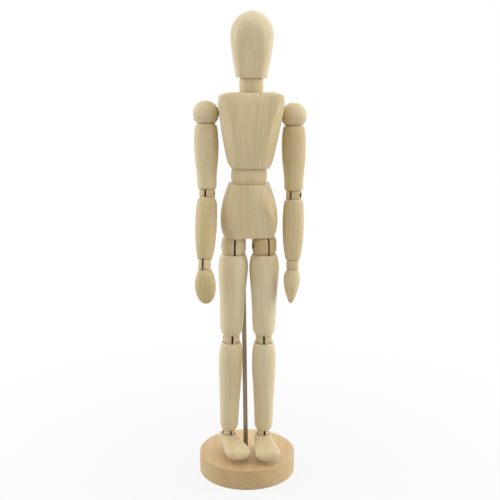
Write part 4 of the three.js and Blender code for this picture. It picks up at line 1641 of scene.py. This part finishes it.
@dataclass
class Arm:
    """One arm from the shoulder ball to the hand."""

    side: Side
    wrist_bend: float
    upper_span: float = 49.8
    upper_girth: float = 7.65
    fore_span: float = 44.6
    fore_girth: float = 6.85
    hand_length: float = 21.7
    hand_half_width: float = 6.7
    hand_half_depth: float = 5.35
    hand_squareness: float = 2.15
    upper_shape: tuple[tuple[float, float], ...] = (
        (0, 0.83), (0.03, 0.89), (0.12, 0.96), (0.28, 1), (0.46, 0.98),
        (0.66, 0.88), (0.85, 0.8), (0.97, 0.775), (1, 0.7),
    )
    fore_shape: tuple[tuple[float, float], ...] = (
        (0, 0.74), (0.035, 0.87), (0.14, 0.95), (0.36, 1), (0.56, 0.97),
        (0.74, 0.9), (0.9, 0.77), (0.98, 0.67), (1, 0.6),
    )
    hand_rows: tuple[tuple[float, float, float], ...] = (
        (1, 0.03, 0.03), (0.992, 0.19, 0.13), (0.965, 0.38, 0.24), (0.91, 0.585, 0.36), (0.82, 0.78, 0.5),
        (0.66, 0.95, 0.72), (0.48, 1, 0.9), (0.32, 0.94, 0.985), (0.18, 0.83, 0.98), (0.06, 0.69, 0.8),
        (0, 0.59, 0.68),
    )

    def build(self, shop: Workshop, bones: Skeleton) -> None:
        """Make all pieces of the arm.

        Args:
            shop: Workshop that dresses the pieces.
            bones: Places of the joints.
        """
        name, sign = self.side.value, self.side.sign
        swing, lift = f"{name}_shoulder_swing", f"{name}_shoulder_lift"
        inward, pin = bones.axis(swing) * -sign, bones.axis(lift)
        inward = inward if inward.x * sign < 0 else -inward
        pin = pin if pin.y * sign < 0 else -pin
        shoulder = frame_at(bones.centre(swing), inward, pin)
        Knuckle(f"{name}_shoulder", SHOULDER, closed=sign).build(shop, shoulder)
        upper = bones.span(swing, f"{name}_elbow_turn", bones.axis(swing))
        along_pin = bones.span(swing, f"{name}_elbow_turn", pin)
        Limb(f"{name}_upper_arm", SHOULDER, ELBOW, self.upper_span, self.upper_girth, self.upper_shape).build(
            shop, upper, along_pin)
        Knuckle(f"{name}_elbow", ELBOW).build(shop, bones.ball(f"{name}_elbow"))
        fore = bones.span(f"{name}_elbow_turn", f"{name}_wrist_turn", bones.axis(f"{name}_elbow_bend"))
        Limb(f"{name}_forearm", ELBOW, WRIST, self.fore_span, self.fore_girth, self.fore_shape).build(
            shop, fore, fore)
        wrist = bones.ball(f"{name}_wrist")
        Knuckle(f"{name}_wrist", WRIST, closed=-sign).build(shop, wrist)
        self._hand(shop, wrist @ Matrix.Rotation(math.radians(self.wrist_bend), 4, "X"))

    def _hand(self, shop: Workshop, place: Matrix) -> None:
        """Spoon-shaped hand and its eye.

        Args:
            shop: Workshop that dresses the pieces.
            place: Frame at the wrist's centre.
        """
        name, count = self.side.value, FACETS.hand
        rows = table_curves(self.hand_rows, FACETS.hand_rows)
        rings = [oval(-WRIST.open - t * self.hand_length, a * self.hand_half_width, b * self.hand_half_depth,
                      self.hand_squareness, count)
                 for t, a, b in rows]
        cup = HARDWARE.cup(WRIST)
        depth = WRIST.radius + HARDWARE.bore_floor
        floor = -depth - HARDWARE.fit
        rim, hole = math.acos(WRIST.open / cup), math.asin(HARDWARE.link_hole / cup)
        seat = arc(cup, math.pi - rim, math.pi - hole, 0, FACETS.hand_seat)
        rings += hoops([*seat, (HARDWARE.link_hole, floor)], count)
        tip = (0, 0, -WRIST.open - self.hand_length)
        skin = Skin.loft(rings, tip, (0, 0, floor))
        shop.piece(f"{name}_hand", skin.mesh("hand"), place, Slot.WOOD)
        shop.piece(f"{name}_hand_eye", hanging_eye(shop, WRIST, depth), place, Slot.STEEL)


@dataclass
class Leg:
    """One leg from the hip ball to the foot."""

    side: Side
    thigh_span: float = 63.0
    thigh_girth: float = 9.6
    shin_span: float = 67.5
    shin_girth: float = 7.85
    foot_length: float = 32.5
    foot_half_width: float = 8.3
    foot_height: float = 10.8
    foot_shank: float = 3.4
    ankle_height: float = 11.9
    foot_tilt: float = -2.5
    foot_squareness: float = 2.5
    thigh_shape: tuple[tuple[float, float], ...] = (
        (0, 0.78), (0.03, 0.88), (0.08, 0.95), (0.17, 1), (0.3, 0.96),
        (0.45, 0.895), (0.62, 0.835), (0.86, 0.79), (0.935, 0.765), (1, 0.625),
    )
    shin_shape: tuple[tuple[float, float], ...] = (
        (0, 0.79), (0.03, 0.87), (0.09, 0.955), (0.18, 1), (0.3, 0.995),
        (0.45, 0.93), (0.65, 0.855), (0.85, 0.795), (0.955, 0.765), (1, 0.64),
    )
    foot_rows: tuple[tuple[float, float, float, float], ...] = (
        (0.275, 0.05, 0.1, 0.32), (0.27, 0.32, 0.5, 0.12), (0.24, 0.54, 0.84, 0.04), (0.14, 0.68, 1.03, 0),
        (0, 0.71, 1.06, 0), (-0.12, 0.71, 1.0, 0), (-0.26, 0.84, 0.85, 0), (-0.42, 0.98, 0.735, 0),
        (-0.53, 1, 0.68, 0), (-0.61, 0.94, 0.645, 0.005), (-0.665, 0.81, 0.58, 0.03),
        (-0.705, 0.61, 0.45, 0.095), (-0.727, 0.39, 0.28, 0.18), (-0.7355, 0.19, 0.12, 0.26),
        (-0.737, 0.05, 0.04, 0.3),
    )

    def build(self, shop: Workshop, bones: Skeleton) -> None:
        """Make all pieces of the leg.

        Args:
            shop: Workshop that dresses the pieces.
            bones: Places of the joints.
        """
        name = self.side.value
        Knuckle(f"{name}_hip", HIP).build(shop, bones.ball(f"{name}_hip"))
        thigh = bones.span(f"{name}_hip_turn", f"{name}_knee_turn", bones.axis(f"{name}_hip_bend"))
        Limb(f"{name}_thigh", HIP, KNEE, self.thigh_span, self.thigh_girth, self.thigh_shape).build(
            shop, thigh, thigh)
        Knuckle(f"{name}_knee", KNEE).build(shop, bones.ball(f"{name}_knee"))
        shin = bones.span(f"{name}_knee_turn", f"{name}_ankle_turn", bones.axis(f"{name}_knee_bend"))
        Limb(f"{name}_shin", KNEE, ANKLE, self.shin_span, self.shin_girth, self.shin_shape).build(
            shop, shin, shin)
        ankle = bones.ball(f"{name}_ankle")
        Knuckle(f"{name}_ankle", ANKLE).build(shop, ankle)
        self._foot(shop, ankle @ Matrix.Rotation(math.radians(self.foot_tilt), 4, "X"))

    def _foot(self, shop: Workshop, place: Matrix) -> None:
        """Clog-shaped foot and its eye.

        Args:
            shop: Workshop that dresses the pieces.
            place: Frame at the ankle's centre, with the toes to -Y.
        """
        name = self.side.value
        rings = []
        for t, a, top, lift in table_curves(self.foot_rows, FACETS.foot_rows):
            low, high = lift * self.foot_height, (top + lift) * self.foot_height
            section = oval(0, a * self.foot_half_width, (high - low) / 2, self.foot_squareness, FACETS.foot)
            y = np.full(len(section), t * self.foot_length)
            z = section[:, 1] + (high + low) / 2 - self.ankle_height
            rings.append(np.column_stack([section[:, 0], y, z]))
        skin = Skin.loft(rings, rings[0].mean(0), rings[-1].mean(0))
        depth = ANKLE.radius + self.foot_shank
        hole = Skin.bar(HARDWARE.link_hole, -depth - HARDWARE.fit, 0, FACETS.bore)
        cuts = [Skin.ball(HARDWARE.cup(ANKLE)), hole]
        mesh = shop.combined(skin.mesh("foot"), cuts, Cut.AWAY)
        shop.piece(f"{name}_foot", mesh, place, Slot.WOOD, GrainLay.of(f"{name}_foot", Fibre.FORWARD))
        shop.piece(f"{name}_foot_eye", hanging_eye(shop, ANKLE, depth), place, Slot.STEEL)


@dataclass(frozen=True)
class Lamp:
    """Soft square lamp that looks at the figure."""

    name: str
    place: tuple[float, float, float]
    size: float
    power: float
    aim: tuple[float, float, float] = (0.0, 0.0, 0.15)

    def build(self) -> None:
        """Hang the lamp."""
        data = bpy.data.lights.new(self.name, "AREA")
        data.shape = "SQUARE"
        data.size = self.size
        data.energy = self.power
        made = bpy.data.objects.new(self.name, data)
        made.location = self.place
        made.rotation_mode = "QUATERNION"
        made.rotation_quaternion = (Vector(self.aim) - Vector(self.place)).to_track_quat("-Z", "Y")
        bpy.context.scene.collection.objects.link(made)


@dataclass
class Studio:
    """White tent with a pale floor, soft lamps and the camera of the photograph."""

    front_light: float = 0.06
    back_light: float = 1.7
    left_light: float = 2.05
    right_light: float = 2.65
    top_light: float = 0.4
    wall_edge: float = 2.0
    floor_reach: float = 6.0
    floor_colour: Colour = (0.48, 0.48, 0.475, 1)
    glow_start: float = 0.03
    glow_near: float = 0.88
    glow_reach: float = 0.3
    camera_place: tuple[float, float, float] = (2.06, -540.0, 271.7)
    camera_pitch: float = 12.27
    camera_lens: float = 60.83
    sensor: float = 36.0
    camera_range: tuple[float, float] = (0.01, 50.0)
    lamps: tuple[Lamp, ...] = (
        Lamp("left_tent_lamp", (-0.7, 0.08, 0.32), 0.6, 0.6),
        Lamp("right_tent_lamp", (0.7, 0.08, 0.32), 0.6, 0.4),
        Lamp("top_tent_lamp", (0.1, -0.5, 1.6), 1.1, 3.0),
    )

    def build(self) -> None:
        """Make floor, world, lamps and camera."""
        self._floor()
        self._world()
        for lamp in self.lamps:
            lamp.build()
        self._camera()
        bpy.context.scene.view_settings.view_transform = "Standard"

    def _floor(self) -> None:
        """Pale floor that keeps a faint shadow."""
        reach = self.floor_reach
        mesh = bpy.data.meshes.new("studio_floor")
        corners = [(-reach, -reach, 0), (reach, -reach, 0), (reach, reach, 0), (-reach, reach, 0)]
        mesh.from_pydata(corners, [], [(0, 1, 2, 3)])
        paint = bpy.data.materials.new("floor_paint")
        paint.use_nodes = True
        bench = Bench(paint.node_tree)
        matt = bench.node("BsdfDiffuse")
        matt.inputs["Color"].default_value = self.floor_colour
        glow = bench.node("Emission")
        glow.inputs["Color"].default_value = WHITE
        away = bench.vector("LENGTH", bench.node("NewGeometry").outputs["Position"])
        glow_share = bench.span(away, self.glow_start, self.glow_reach, self.glow_near, 1.0)
        seen = bench.math("MULTIPLY", bench.looked_at(), glow_share)
        bench.show(bench.mixed(seen, matt, glow))
        mesh.materials.append(paint)
        floor = bpy.data.objects.new("studio_floor", mesh)
        bpy.context.scene.collection.objects.link(floor)

    def _world(self) -> None:
        """White to the camera; the tent's walls and roof give the light, with less from its open front."""
        world = bpy.data.worlds.new("white_tent")
        world.use_nodes = True
        bench = Bench(world.node_tree)
        way = bench.node("SeparateXYZ")
        bench.join(bench.node("TexCoord").outputs["Generated"], way.inputs[0])
        fill, backdrop = bench.node("Background"), bench.node("Background")
        fill.inputs["Color"].default_value = WHITE
        walls = (
            ("Y", -1.0, self.front_light), ("Y", 1.0, self.back_light), ("X", -1.0, self.left_light),
            ("X", 1.0, self.right_light), ("Z", 1.0, self.top_light),
        )
        level: object = 0.0
        for axis, sign, light in walls:
            toward = bench.math("MAXIMUM", bench.math("MULTIPLY", way.outputs[axis], sign), 0.0)
            level = bench.math("MULTIPLY_ADD", bench.math("POWER", toward, self.wall_edge), light, level)
        bench.join(level, fill.inputs["Strength"])
        backdrop.inputs["Color"].default_value = WHITE
        backdrop.inputs["Strength"].default_value = 1.0
        bench.show(bench.mixed(bench.looked_at(), fill, backdrop), "OutputWorld")
        bpy.context.scene.world = world

    def _camera(self) -> None:
        """Camera at the photograph's view."""
        data = bpy.data.cameras.new("photo_camera")
        data.sensor_width = self.sensor
        data.lens = self.camera_lens
        data.clip_start, data.clip_end = self.camera_range
        made = bpy.data.objects.new("photo_camera", data)
        made.location = Vector(self.camera_place) * MM
        made.rotation_euler = (math.radians(90 - self.camera_pitch), 0, 0)
        bpy.context.scene.collection.objects.link(made)
        bpy.context.scene.camera = made


def finishes() -> dict[Slot, bpy.types.Material]:
    """Materials for the record's slots.

    Returns:
        One material for each slot.
    """
    limewood = WoodFinish(
        "limewood",
        pale=(0.81, 0.7, 0.46, 1),
        deep=(0.57, 0.41, 0.15, 1),
        warm=(0.66, 0.5, 0.28, 1),
        pore=(0.42, 0.295, 0.13, 1),
        ring_spacing=2.9,
    )
    beech = WoodFinish(
        "pink_beech",
        pale=(0.73, 0.55, 0.305, 1),
        deep=(0.5, 0.325, 0.135, 1),
        warm=(0.63, 0.405, 0.2, 1),
        pore=(0.36, 0.215, 0.09, 1),
        ring_spacing=3.4,
        ring_share=0.18,
        wander=1.1,
        sheen=0.35,
        nap=0.06,
    )
    dressed = {Slot.WOOD: limewood, Slot.BASE_WOOD: beech, Slot.STEEL: SteelFinish()}
    return {slot: finish.material() for slot, finish in dressed.items()}


def main() -> None:
    """Build the figure and its studio."""
    logging.basicConfig(level=logging.INFO, format="%(name)s: %(message)s")
    bones = Skeleton(frame["joints"])
    bodies = frame["record"]["behaviour"]["bodies"]
    owners = {node: body for body, nodes in bodies.items() for node in nodes}
    Studio().build()
    shop = Workshop(finishes(), owners)
    Stand().build(shop, bones)
    Torso().build(shop, bones)
    for side in Side:
        Arm(side, WRIST_BENDS[side]).build(shop, bones)
        Leg(side).build(shop, bones)
    LOG.info("%d pieces", len(shop.made))


if __name__ == "__main__":
    main()
